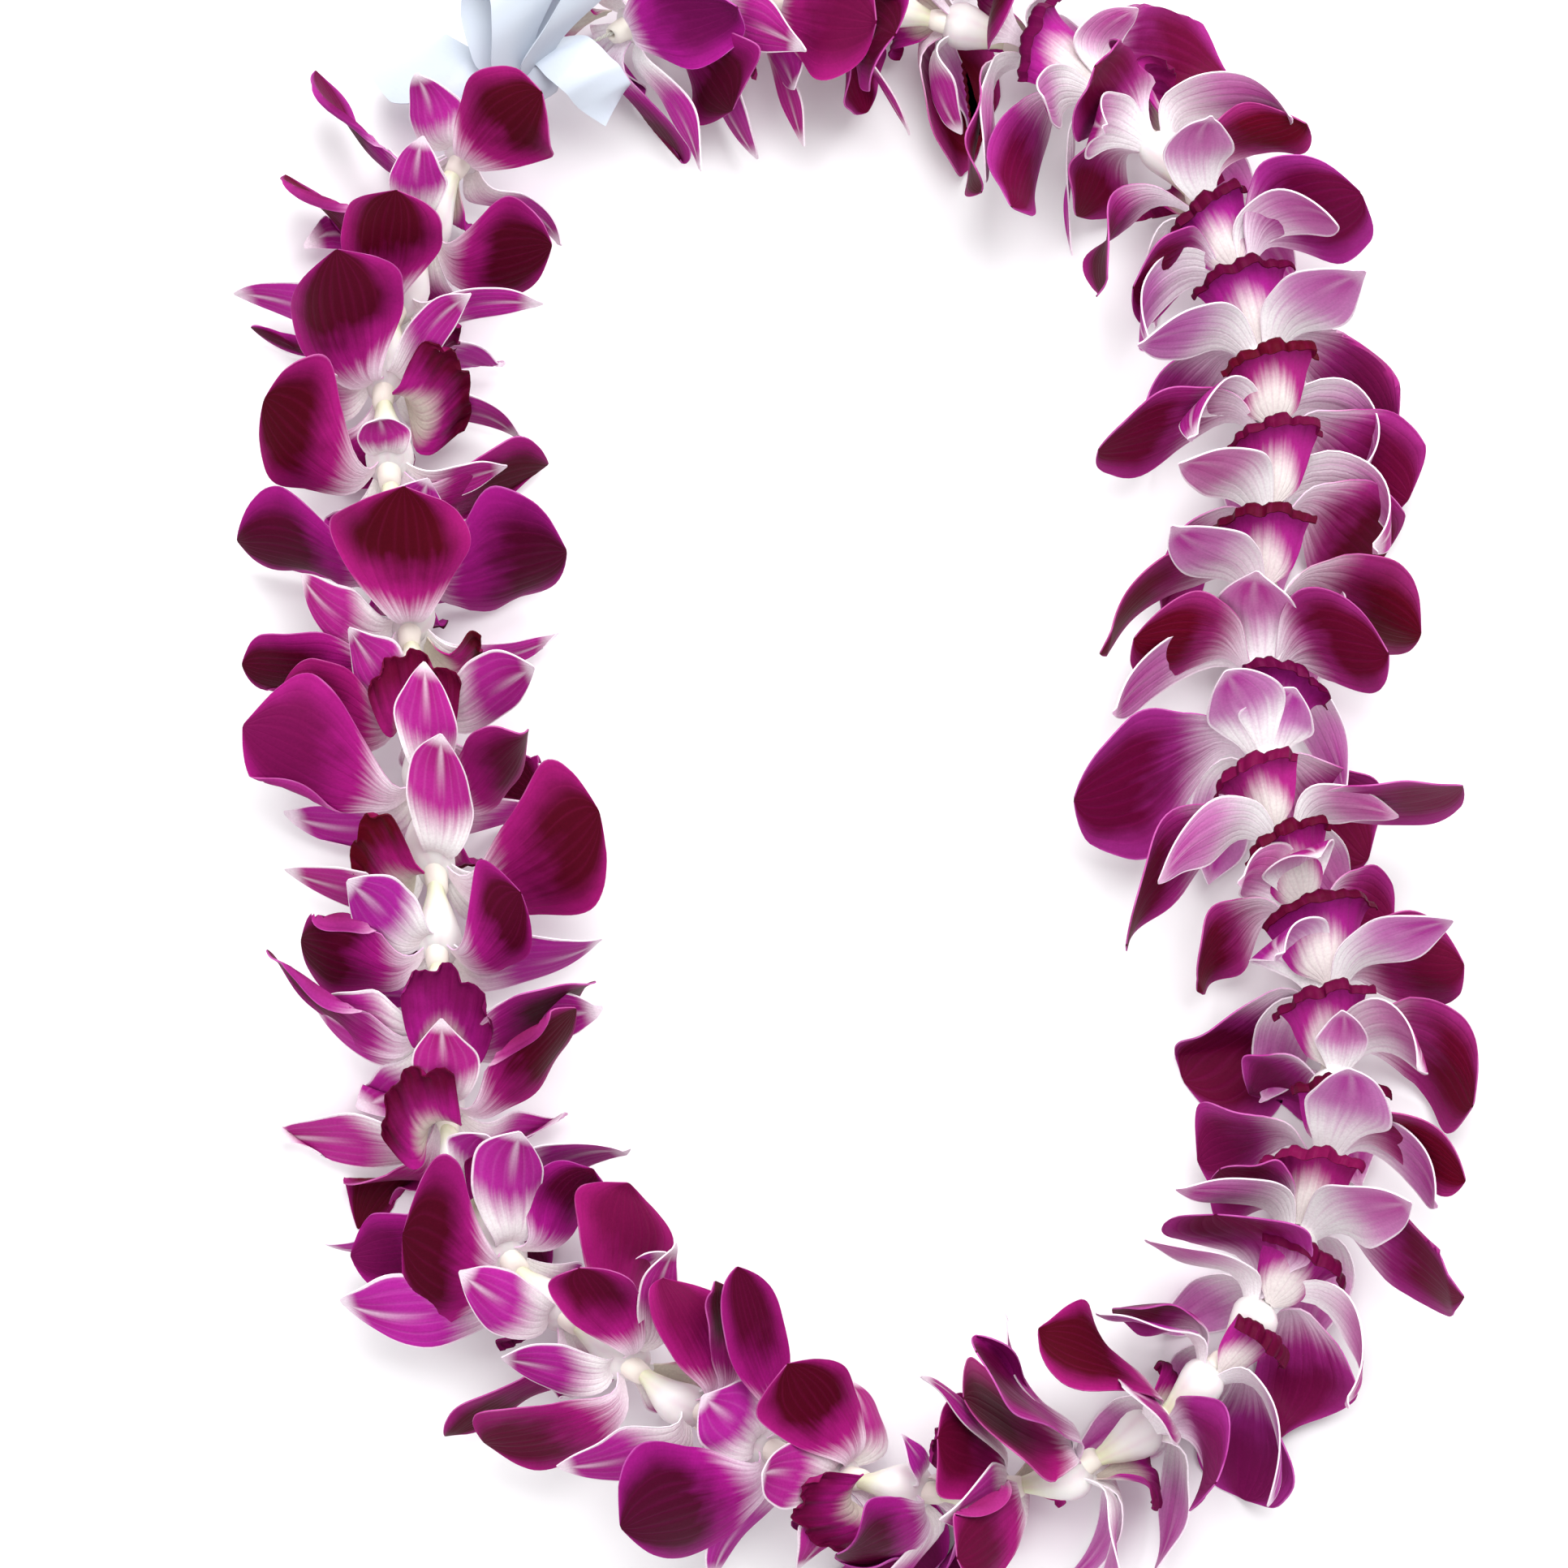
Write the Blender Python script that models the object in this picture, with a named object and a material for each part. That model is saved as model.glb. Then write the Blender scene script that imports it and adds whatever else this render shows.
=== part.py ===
"""Fresh flower lei: orchid blooms strung through their centres on a closed thread, tied with a ribbon bow.

The lei lies on a surface as an open oval. Its blooms face one way round, nested like paper cones.
Sizes are in millimetres and angles in degrees. Points become metres when a mesh is made.
"""
import math
import random

import bmesh
import bpy
import numpy as np

METRES = 0.001

# The thread's route seen from above, against the clock, starting at the bow.
ROUTE_SPOTS = [
    (-81.6, 168), (-95.6, 155), (-106.6, 135), (-116.6, 110), (-119.2, 86), (-115.6, 55),
    (-112, 27), (-109, -3), (-106, -32), (-105.6, -63), (-103.6, -92), (-93.6, -117),
    (-73.6, -138), (-45.6, -158), (-15.6, -174), (14.4, -181), (44.4, -178), (72.4, -163),
    (95.4, -138), (110.4, -107), (115, -73), (108.4, -39), (99.4, -9), (97.4, 19),
    (99, 49), (100, 79), (95.4, 108), (82.4, 137), (60.4, 162), (32.4, 178),
    (0.4, 185), (-33.6, 186), (-61.6, 180),
]
ROUTE_MIDDLE = (-3.1, 1.4)
ROUTE_EASE = 9.0
THREAD_HEIGHT = 22.0
THREAD_RADIUS = 0.5
THREAD_SIDES = 4

BLOOM_COUNT = 48
BOW_ROOM = 34.0

# Each bloom's turn about the thread, from the bow onwards.
BLOOM_ROLLS = [
    0, 15, -75, -90, -25, 14, -61, 180, 0, 130, -15, -165, 150, -122, 33, -16,
    -34, 82, 24, 141, -100, -11, 78, 14, 180, 165, 200, 175, 190, 160, 180, 205,
    151, 0, 195, 180, 176, 184, 187, -10, 60, 165, 49, 14, 70, -52, 19, 80,
]

# Blades' outlines: share of the length, width, points across.
SEPAL_LENGTH = 35.0
SEPAL_OUTLINE = [(0.0, 2.0, 2), (0.38, 13.0, 3), (0.74, 10.5, 3), (1.0, 0.0, 1)]
SEPAL_ROOT = -1.5
PETAL_LENGTH = 38.0
PETAL_OUTLINE = [(0.0, 2.0, 2), (0.3, 16.0, 3), (0.6, 28.0, 4), (0.85, 22.0, 3), (1.0, 7.0, 2)]
PETAL_ROOT = 0.4
PETAL_FORWARD = 2.6
BLADE_THICKNESS = 0.75
ROOT_RADIUS = 3.7

# The lip's stations: forward of the centre, radius, half spread in degrees, points across.
LIP_STATIONS = [(1.2, 4.6, 10, 2), (7.0, 8.2, 60, 5), (15.2, 12.8, 58, 5)]
LIP_EDGE_BACK = 0.12

# Round the core: where each blade grows, and the corners between them, in degrees.
BLADE_TURNS = [(29, "petal"), (90, "sepal"), (151, "petal"), (232, "sepal"), (270, "lip"), (308, "sepal")]
CORE_CORNERS = [-11.5, 59.5, 120.5, 191.5, 251, 289]

# The tube behind each flower and its column: forward of the centre, radius.
CORE_STATIONS = [(-13.0, 1.8), (-4.6, 3.9), (3.4, 3.9), (5.0, 2.3)]
BORE_STATIONS = [5.0, -4.2, -13.0]
BORE_RADIUS = 1.15
BORE_CORNERS = [-10, 80, 170, 260]

# The bow's knot, and its ribbons' routes: outward, up, forward, width.
BOW_STATIONS = [(-5.0, 3.0), (-2.6, 5.2), (2.6, 5.2), (5.0, 3.2)]
BOW_BORE = [5.0, 0.0, -5.0]
RIBBON_THICKNESS = 0.6
BOW_LOOPS = [
    [(2, 2.5, 0, 6), (7, 8, 0, 12), (15, 15, 0, 16), (23, 18, 0, 17), (30, 16, 0, 17),
     (31, 11, 1, 17), (24, 8, 1, 16), (14, 6, 1, 13), (2, 1, 0, 6)],
    [(1, 3, -1, 6), (3, 9, -3, 12), (2, 17, -4, 15), (-2, 23, -4, 16), (-8, 25, -4, 16),
     (-13, 20, -4, 16), (-12, 14, -3, 15), (-7, 8, -1, 12), (-2, 1, 0, 6)],
]
BOW_TAILS = [
    [(2, -1, 1, 6), (9, 0, 4, 12), (17, -2, 7, 15), (25, -7, 9, 16), (33, -13, 10, 16)],
    [(-2, -1, -1, 6), (-8, 2, -3, 12), (-14, 3, -5, 15), (-21, 0, -7, 16), (-28, -6, -8, 16)],
]
TAIL_SLANT = 6.0
RIBBON_CROWN = 0.6
BOW_SIDES = 8

# The thread's own knot, past the bow: length along the route, radius.
THREAD_KNOT = [(7.2, 0.5), (8.3, 1.5), (9.9, 1.5), (11.0, 0.5)]

# The flower's profile: its throat opens forward, and its tips lean back or forward of square.
THROAT_SLOPE = -1.0
THROAT_RADIUS = 3.0
TURN_WIDTH = 12.0
SIDE_LEAN = 0.7
UNDER_LEAN = 0.9
# Along the route: how far whole flowers tip up to face the sky, and how far their top tips lean back.
LEANS = [
    (0, 0.6, 0.6), (60, 0.85, 0.8), (120, 0.95, 1.0), (300, 0.95, 1.0), (390, 0.8, 0.8),
    (425, 0.6, 0.5), (530, -0.4, 0.0), (600, -0.6, -0.1), (790, -0.6, -0.1), (830, -0.45, 0.1),
    (930, 0.5, 0.5), (990, 0.6, 0.6),
]

FLOOR_SOFT = 3.5
FLOOR_SNAP = 0.32


def closed_curve(spots, step):
    """Return a dense closed curve through the spots, eased by a running average."""
    points = np.array(spots, float) - ROUTE_MIDDLE
    count = len(points)
    dense = []
    for i in range(count):
        a, b, c, d = (points[(i + k) % count] for k in (-1, 0, 1, 2))
        pieces = max(2, int(np.linalg.norm(c - b) / step))
        for t in np.arange(pieces) / pieces:
            dense.append(0.5 * (2 * b + (c - a) * t + (2 * a - 5 * b + 4 * c - d) * t * t
                                + (3 * b - a - 3 * c + d) * t ** 3))
    dense = np.array(dense)
    reach = int(3 * ROUTE_EASE / step)
    weights = np.exp(-0.5 * (np.arange(-reach, reach + 1) * step / ROUTE_EASE) ** 2)
    weights /= weights.sum()
    padded = np.vstack([dense[-reach:], dense, dense[:reach]])
    return np.column_stack([np.convolve(padded[:, k], weights, "valid") for k in (0, 1)])


class Route:
    """The thread's route, read by its length from the bow."""

    def __init__(self, spots):
        curve = closed_curve(spots, 1.0)
        ring = np.vstack([curve, curve[:1]])
        lengths = np.concatenate([[0], np.cumsum(np.linalg.norm(np.diff(ring, axis=0), axis=1))])
        self.length = lengths[-1]
        self.stations = np.concatenate([lengths[:-1] - self.length, lengths[:-1], lengths + self.length])
        self.points = np.vstack([curve, curve, ring])

    def at(self, along):
        """Return the points and the outward directions at lengths along the route."""
        along = np.asarray(along, float)
        inner = np.mod(along, self.length)
        step = 1.0
        here = self.read(inner)
        ahead = self.read(inner + step) - self.read(inner - step)
        ahead /= np.linalg.norm(ahead, axis=-1, keepdims=True)
        outward = np.stack([ahead[..., 1], -ahead[..., 0]], axis=-1)
        return here, outward

    def read(self, along):
        return np.stack([np.interp(along, self.stations, self.points[:, k]) for k in (0, 1)], axis=-1)


def leans(along):
    """Return how far flowers tip up, and how far their top tips lean back, along the route."""
    lengths, tips, tops = zip(*LEANS)
    return np.interp(along, lengths, tips), np.interp(along, lengths, tops)


def lean_back(radius, angle, along):
    """Return how far behind its centre a flower's surface lies at a radius and an angle."""
    height = np.sin(angle)
    top = leans(along)[1]
    end = SIDE_LEAN + (top - SIDE_LEAN) * np.clip(height, 0, 1) ** 1.5
    end = end + (UNDER_LEAN - SIDE_LEAN) * np.clip(-height, 0, 1) ** 1.5
    turned = np.clip((radius - THROAT_RADIUS) / TURN_WIDTH, 0, 1)
    opened = TURN_WIDTH * (turned ** 3 - turned ** 4 / 2)
    opened = opened + np.clip(radius - THROAT_RADIUS - TURN_WIDTH, 0, None)
    return THROAT_SLOPE * (radius - THROAT_RADIUS - opened) + end * opened


def put(route, along, across, up, forward):
    """Return world points for offsets from a flower's centre, with what is low pressed on the surface."""
    tip = leans(along)[0]
    free = THREAD_HEIGHT + up
    pressed = FLOOR_SOFT * np.exp(np.clip((free - FLOOR_SOFT) / FLOOR_SOFT, -20, 0))
    height = np.maximum(np.where(free < FLOOR_SOFT, pressed, free), BLADE_THICKNESS / 2)
    here, outward = route.at(along + forward - tip * up + tip * (height - free))
    flat = here + outward * across[..., None]
    return np.concatenate([flat, height[..., None]], axis=-1)


class Form:
    """Points in millimetres and triangles, gathered into one closed mesh."""

    def __init__(self):
        self.points = []
        self.faces = []

    def add(self, points):
        """Add points and return their numbers."""
        start = len(self.points)
        self.points.extend(points)
        return list(range(start, start + len(points)))

    def strip(self, low, high, closed=False):
        """Add triangles between two rows of numbered points, which may differ in count."""
        if closed:
            low = low + low[:1]
            high = high + high[:1]
        i, j = 0, 0
        while i < len(low) - 1 or j < len(high) - 1:
            next_low = (i + 1) / (len(low) - 1) if i < len(low) - 1 else 2
            next_high = (j + 1) / (len(high) - 1) if j < len(high) - 1 else 2
            if next_low <= next_high:
                self.faces.append((low[i], low[i + 1], high[j]))
                i += 1
            else:
                self.faces.append((low[i], high[j + 1], high[j]))
                j += 1

    def socket(self, corners, root):
        """Close the core's face round a blade's root, folding each side at the root's lower corner."""
        points = np.array(self.points)
        middle = points[list(corners)].mean(axis=0)
        upright = np.cross(points[corners[2]] - points[corners[0]], points[corners[3]] - points[corners[1]])
        heights = np.abs((points[list(root)] - middle) @ upright)
        for side in range(4):
            after = (side + 1) % 4
            if heights[side] < heights[after]:
                self.faces.append((corners[side], corners[after], root[side]))
                self.faces.append((corners[after], root[after], root[side]))
            else:
                self.faces.append((corners[side], corners[after], root[after]))
                self.faces.append((corners[side], root[after], root[side]))

    def sheet(self, rows, thickness):
        """Add a blade with both faces split alike, open at its root, and return the root's corners."""
        flat = Form()
        numbered = [flat.add(row) for row in rows]
        for low, high in zip(numbered, numbered[1:]):
            flat.strip(low, high)
        points = np.array(flat.points)
        normals = np.zeros_like(points)
        for a, b, c in flat.faces:
            for corner in (a, b, c):
                normals[corner] += np.cross(points[b] - points[a], points[c] - points[a])
        normals /= np.linalg.norm(normals, axis=1, keepdims=True)
        normals[numbered[0]] = normals[numbered[0]].mean(axis=0)
        front = self.add(settled(points + normals * thickness / 2))
        back = self.add(settled(points - normals * thickness / 2))
        self.faces += [(front[a], front[b], front[c]) for a, b, c in flat.faces]
        self.faces += [(back[c], back[b], back[a]) for a, b, c in flat.faces]
        edge = [row[0] for row in numbered] + numbered[-1][1:] + [row[-1] for row in numbered[-2::-1]]
        self.strip([front[k] for k in edge], [back[k] for k in edge])
        first, last = numbered[0][0], numbered[0][-1]
        return back[first], back[last], front[last], front[first]

    def made(self, name, material):
        """Turn the form into an object with its faces pointing out."""
        mesh = bmesh.new()
        corners = [mesh.verts.new(point * METRES) for point in np.array(self.points)]
        for face in self.faces:
            mesh.faces.new([corners[k] for k in face])
        bmesh.ops.recalc_face_normals(mesh, faces=mesh.faces)
        if mesh.calc_volume(signed=True) < 0:
            bmesh.ops.reverse_faces(mesh, faces=mesh.faces)
        data = bpy.data.meshes.new(name)
        mesh.to_mesh(data)
        mesh.free()
        data.materials.append(material)
        made = bpy.data.objects.new(name, data)
        bpy.context.scene.collection.objects.link(made)
        return made


def settled(points):
    """Return the points with those just above the surface laid flat on it."""
    points = np.array(points)
    points[points[:, 2] < FLOOR_SNAP, 2] = 0.0
    return points


def blade_rows(route, along, turn, length, outline, shape):
    """Return the rows of points of one sepal or petal, from its root out along the flower's profile."""
    angle = math.radians(turn + shape["aside"])
    radii = np.linspace(ROOT_RADIUS, ROOT_RADIUS + length, 90)
    rise = np.gradient(lean_back(radii, angle, along), radii)
    walked = np.concatenate([[0], np.cumsum(np.sqrt(1 + rise[1:] ** 2) * np.diff(radii))])
    rows = []
    for part, width, count in outline:
        radius = np.interp(part * length, walked, radii)
        sides = np.linspace(-1, 1, count) if count > 1 else np.array([0.0])
        offset = sides * width * (shape["breadth"] if part > 0 else 1.0) / 2
        angle = math.radians(turn + shape["aside"] if part > 0 else shape["socket"])
        across = radius * math.cos(angle) - offset * math.sin(angle)
        up = radius * math.sin(angle) + offset * math.cos(angle)
        ahead = shape["root"] + shape["forward"] * min(1.0, part * 3) + shape["bend"] * part ** 2
        ahead = ahead + part * np.abs(sides) * (shape["cup"] + shape["wave"] * np.sin(7 * part + 2 * sides))
        ahead = ahead - lean_back(np.hypot(across, up), np.arctan2(up, across), along)
        rows.append(put(route, along, across, up, ahead))
    return rows


def lip_rows(route, along, turn, size):
    """Return the rows of the lip, a trough round the column that flares at its mouth."""
    rows = []
    for ahead, radius, spread, count in LIP_STATIONS:
        sides = np.linspace(-1, 1, count)
        angle = np.radians(turn + sides * spread)
        reach = radius * (size if count > 2 else 1.0)
        forward = ahead * (1 - LIP_EDGE_BACK * np.abs(sides))
        rows.append(put(route, along, reach * np.cos(angle), reach * np.sin(angle), forward))
    return rows


def lathe(form, route, along, stations, corners, bore, bore_corners, skip):
    """Add a turned piece with a bore for the thread, and return the rings of its outside."""
    rings = []
    for ahead, radius in stations:
        angle = np.radians(corners)
        rings.append(form.add(put(route, along, radius * np.cos(angle), radius * np.sin(angle),
                                  ahead + 0 * angle)))
    hole = []
    for ahead in bore:
        angle = np.radians(bore_corners)
        hole.append(form.add(put(route, along, BORE_RADIUS * np.cos(angle), BORE_RADIUS * np.sin(angle),
                                 ahead + 0 * angle)))
    around = rings + hole + rings[:1]
    for k, (low, high) in enumerate(zip(around, around[1:])):
        if k != skip:
            form.strip(low, high, closed=True)
    return rings


def bloom(route, number, along, roll, material):
    """Make one orchid: two petals in front of three sepals, and a lip, grown from a hollow core."""
    draw = random.Random(number)
    size = draw.uniform(0.94, 1.05)
    form = Form()
    rings = lathe(form, route, along, CORE_STATIONS, [turn + roll for turn in CORE_CORNERS],
                  BORE_STATIONS, [turn + roll for turn in BORE_CORNERS], skip=1)
    for k, (turn, kind) in enumerate(BLADE_TURNS):
        after = (k + 1) % len(CORE_CORNERS)
        gap = (CORE_CORNERS[after] - CORE_CORNERS[k]) % 360
        socket_turn = roll + CORE_CORNERS[k] + gap / 2
        shape = {"aside": draw.uniform(-6, 6), "breadth": size, "socket": socket_turn}
        if kind == "sepal":
            shape.update(root=SEPAL_ROOT, forward=0.0, bend=draw.uniform(-2.5, 0.8),
                         cup=draw.uniform(0, 1), wave=draw.uniform(-0.4, 0.4))
            rows = blade_rows(route, along, turn + roll, SEPAL_LENGTH * size, SEPAL_OUTLINE, shape)
        elif kind == "petal":
            shape.update(root=PETAL_ROOT, forward=PETAL_FORWARD, bend=draw.uniform(1, 6),
                         cup=draw.uniform(0, 1.8), wave=draw.uniform(-0.9, 0.9))
            rows = blade_rows(route, along, turn + roll, PETAL_LENGTH * size, PETAL_OUTLINE, shape)
        else:
            rows = lip_rows(route, along, turn + roll, size)
        root = form.sheet(rows, BLADE_THICKNESS)
        form.socket((rings[1][k], rings[1][after], rings[2][after], rings[2][k]), root)
    return form.made(f"bloom_{number:02d}", material)


def fuse(base, pieces):
    """Join pieces into a base by one Boolean union, applied, and remove them."""
    group = bpy.data.collections.new(base.name + "_pieces")
    for piece in pieces:
        group.objects.link(piece)
    union = base.modifiers.new("Fuse", "BOOLEAN")
    union.operation = "UNION"
    union.solver = "EXACT"
    union.operand_type = "COLLECTION"
    union.collection = group
    evaluated = base.evaluated_get(bpy.context.evaluated_depsgraph_get())
    fused = bpy.data.meshes.new_from_object(evaluated)
    base.modifiers.clear()
    base.data = fused
    for piece in pieces:
        bpy.data.objects.remove(piece)
    bpy.data.collections.remove(group)


def ribbon(route, stations, material, slant):
    """Make one strip of the bow, with its end cut on a slant where it is a tail."""
    rows = []
    last = len(stations) - 1
    for k, (across, up, ahead, width) in enumerate(stations):
        sides = np.array([-0.5, 0.0, 0.5])
        out = across + math.copysign(1, across) * (slant * sides if k == last else 0 * sides)
        forward = ahead + sides * width - lean_back(np.hypot(out, up), np.arctan2(up, out), 0.0)
        crown = up + (1 - 4 * sides ** 2) * (RIBBON_CROWN if 0 < k < last else 0.0)
        rows.append(put(route, 0.0, out, crown, forward))
    form = Form()
    form.sheet(rows, RIBBON_THICKNESS)
    across_count = len(sides)
    back = len(rows) * across_count
    form.strip(list(range(across_count)), list(range(back, back + across_count)))
    return form.made("ribbon", material)


def bow(route, material):
    """Make the ribbon bow: a knot round the thread, two loops and two tails."""
    form = Form()
    corners = np.arange(BOW_SIDES) * 360.0 / BOW_SIDES
    lathe(form, route, 0.0, BOW_STATIONS, corners, BOW_BORE, BORE_CORNERS, skip=None)
    base = form.made("ribbon_bow", material)
    pieces = [ribbon(route, stations, material, 0.0) for stations in BOW_LOOPS]
    pieces += [ribbon(route, stations, material, TAIL_SLANT) for stations in BOW_TAILS]
    fuse(base, pieces)
    return base


def thread(route, pitch, material):
    """Make the thread, a closed ring through every core and the bow, with its own knot."""
    stations = list(THREAD_KNOT)
    for k in range(BLOOM_COUNT):
        along = BOW_ROOM / 2 + pitch * (k + 0.5)
        stations += [(along - pitch * 0.25, THREAD_RADIUS), (along + pitch * 0.25, THREAD_RADIUS)]
    stations += [(route.length - BOW_ROOM / 4, THREAD_RADIUS), (route.length, THREAD_RADIUS)]
    form = Form()
    rings = []
    angle = math.pi / THREAD_SIDES + np.arange(THREAD_SIDES) * 2 * math.pi / THREAD_SIDES
    for along, radius in stations:
        here, outward = route.at(np.full(THREAD_SIDES, along))
        flat = here + outward * (radius * np.cos(angle))[:, None]
        height = THREAD_HEIGHT + radius * np.sin(angle)
        rings.append(form.add(np.column_stack([flat, height])))
    for low, high in zip(rings, rings[1:] + rings[:1]):
        form.strip(low, high, closed=True)
    return form.made("thread", material)


def paint(name, colour, roughness):
    """Make a plain material."""
    made = bpy.data.materials.new(name)
    made.use_nodes = True
    shader = made.node_tree.nodes["Principled BSDF"]
    shader.inputs["Base Color"].default_value = (*colour, 1)
    shader.inputs["Roughness"].default_value = roughness
    shader.inputs["Metallic"].default_value = 0.0
    return made


def build():
    for old in list(bpy.data.objects):
        bpy.data.objects.remove(old)
    route = Route(ROUTE_SPOTS)
    pitch = (route.length - BOW_ROOM) / BLOOM_COUNT
    orchid = paint("orchid_magenta", (0.38, 0.02, 0.25), 0.5)
    cotton = paint("white_cotton", (0.8, 0.78, 0.72), 0.8)
    satin = paint("white_satin", (0.85, 0.87, 0.92), 0.35)
    thread(route, pitch, cotton)
    bow(route, satin)
    for k, roll in enumerate(BLOOM_ROLLS):
        bloom(route, k + 1, BOW_ROOM / 2 + pitch * (k + 0.5), roll, orchid)


build()
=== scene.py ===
import math
import random

import bmesh
import bpy
import numpy as np
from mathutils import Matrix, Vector


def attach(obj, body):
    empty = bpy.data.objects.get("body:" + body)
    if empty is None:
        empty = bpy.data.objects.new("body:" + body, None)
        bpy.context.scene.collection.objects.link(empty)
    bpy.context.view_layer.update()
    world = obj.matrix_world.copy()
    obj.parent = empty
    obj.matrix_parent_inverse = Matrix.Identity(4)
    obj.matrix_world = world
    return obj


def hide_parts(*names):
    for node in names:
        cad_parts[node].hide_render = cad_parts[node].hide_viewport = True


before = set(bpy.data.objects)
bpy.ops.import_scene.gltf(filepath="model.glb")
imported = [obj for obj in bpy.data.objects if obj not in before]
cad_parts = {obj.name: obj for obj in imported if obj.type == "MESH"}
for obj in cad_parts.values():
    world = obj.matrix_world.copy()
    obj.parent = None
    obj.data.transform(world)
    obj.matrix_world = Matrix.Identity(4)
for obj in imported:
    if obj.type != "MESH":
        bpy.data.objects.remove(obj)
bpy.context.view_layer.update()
print("frame loaded")

# The lei's layout: millimetres and degrees, seen from above.
leiRoute = {
    # the thread's way, against the clock, starting at the bow
    "spots": [
        (-81.6, 168), (-95.6, 155), (-106.6, 135), (-116.6, 110), (-119.2, 86), (-115.6, 55),
        (-112, 27), (-109, -3), (-106, -32), (-105.6, -63), (-103.6, -92), (-93.6, -117),
        (-73.6, -138), (-45.6, -158), (-15.6, -174), (14.4, -181), (44.4, -178), (72.4, -163),
        (95.4, -138), (110.4, -107), (115, -73), (108.4, -39), (99.4, -9), (97.4, 19),
        (99, 49), (100, 79), (95.4, 108), (82.4, 137), (60.4, 162), (32.4, 178),
        (0.4, 185), (-33.6, 186), (-61.6, 180),
    ],
    "middle": (-3.1, 1.4),
    "ease": 9.0,
    "height": 22.0,
    "floorSoft": 3.5,
    "floorLeast": 0.3,
    "bloomCount": 48,
    "bowRoom": 34.0,
    # along the route: how far whole blooms tip up, how far their top petals lean back
    "leans": [
        (0, 0.6, 0.6), (60, 0.85, 0.8), (120, 0.95, 1.0), (300, 0.95, 1.0), (390, 0.8, 0.8),
        (425, 0.6, 0.5), (530, -0.4, 0.0), (600, -0.6, -0.1), (790, -0.6, -0.1), (830, -0.45, 0.1),
        (930, 0.5, 0.5), (990, 0.6, 0.6),
    ],
    "sideLean": 0.7,
    "underLean": 0.9,
    "throatRadius": 3.0,
    "throatSlope": -1.0,
    "turnWidth": 12.0,
    # each bloom's turn about the thread
    "rolls": [
        0, 15, -75, -90, -25, 14, -61, 180, 0, 130, -15, -165, 150, -122, 33, -16,
        -34, 82, 24, 141, -100, -11, 78, 14, 180, 165, 200, 175, 190, 160, 180, 205,
        151, 0, 195, 180, 176, 184, 187, -10, 60, 165, 49, 14, 70, -52, 19, 80,
    ],
}

photo = {
    "pixels": 1932,
    "millimetresEach": 0.2,
    "middlePixel": (966, 966),
    "routeZeroPixel": (1068, 935),  # the pixel at the route's own zero
    "cameraHeight": 1.2,
    "sensor": 36.0,
}

pixelsAside = photo["middlePixel"][0] - photo["routeZeroPixel"][0]
pixelsUp = photo["routeZeroPixel"][1] - photo["middlePixel"][1]
viewMiddle = [pixelsAside * photo["millimetresEach"] - leiRoute["middle"][0],
              pixelsUp * photo["millimetresEach"] - leiRoute["middle"][1]]


def millimetres(points):
    return np.asarray(points) * 0.001


# the photo's pixel in which a world point, in millimetres, is seen
def pixelOf(spot):
    far = photo["cameraHeight"] * 1000
    scale = far / (far + leiRoute["height"] - spot[2]) / photo["millimetresEach"]
    return np.array([photo["middlePixel"][0] + (spot[0] - viewMiddle[0]) * scale,
                     photo["middlePixel"][1] - (spot[1] - viewMiddle[1]) * scale])


def closedRoute():
    spots = np.array(leiRoute["spots"], float) - leiRoute["middle"]
    count = len(spots)
    dense = []
    for i in range(count):
        before, start, end, after = (spots[(i + k) % count] for k in (-1, 0, 1, 2))
        steps = max(2, int(np.linalg.norm(end - start)))
        for part in np.arange(steps) / steps:
            dense.append(0.5 * (2 * start + (end - before) * part
                                + (2 * before - 5 * start + 4 * end - after) * part * part
                                + (3 * start - before - 3 * end + after) * part ** 3))
    dense = np.array(dense)
    reach = int(3 * leiRoute["ease"])
    weights = np.exp(-0.5 * (np.arange(-reach, reach + 1) / leiRoute["ease"]) ** 2)
    weights /= weights.sum()
    around = np.vstack([dense[-reach:], dense, dense[:reach]])
    return np.column_stack([np.convolve(around[:, k], weights, "valid") for k in (0, 1)])


routePoints = closedRoute()
ring = np.vstack([routePoints, routePoints[:1]])
ringLengths = np.concatenate([[0], np.cumsum(np.linalg.norm(np.diff(ring, axis=0), axis=1))])
routeLength = ringLengths[-1]
routeStations = np.concatenate([ringLengths[:-1] - routeLength, ringLengths[:-1],
                                ringLengths + routeLength])
routeTable = np.vstack([routePoints, routePoints, ring])
pitch = (routeLength - leiRoute["bowRoom"]) / leiRoute["bloomCount"]


def routeRead(along):
    return np.stack([np.interp(along, routeStations, routeTable[:, k]) for k in (0, 1)], axis=-1)


def routeAt(along):
    inner = np.mod(np.asarray(along, float), routeLength)
    ahead = routeRead(inner + 1) - routeRead(inner - 1)
    ahead /= np.linalg.norm(ahead, axis=-1, keepdims=True)
    return routeRead(inner), np.stack([ahead[..., 1], -ahead[..., 0]], axis=-1)


def leansAt(along):
    lengths, tips, tops = zip(*leiRoute["leans"])
    return np.interp(along, lengths, tips), np.interp(along, lengths, tops)


# how far behind its centre a bloom's face lies at a radius and an angle
def leanBack(radius, angle, along):
    side = leiRoute["sideLean"]
    height = np.sin(angle)
    end = side + (leansAt(along)[1] - side) * np.clip(height, 0, 1) ** 1.5
    end = end + (leiRoute["underLean"] - side) * np.clip(-height, 0, 1) ** 1.5
    past = radius - leiRoute["throatRadius"]
    turned = np.clip(past / leiRoute["turnWidth"], 0, 1)
    opened = leiRoute["turnWidth"] * (turned ** 3 - turned ** 4 / 2)
    opened = opened + np.clip(past - leiRoute["turnWidth"], 0, None)
    return leiRoute["throatSlope"] * (past - opened) + end * opened


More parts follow.
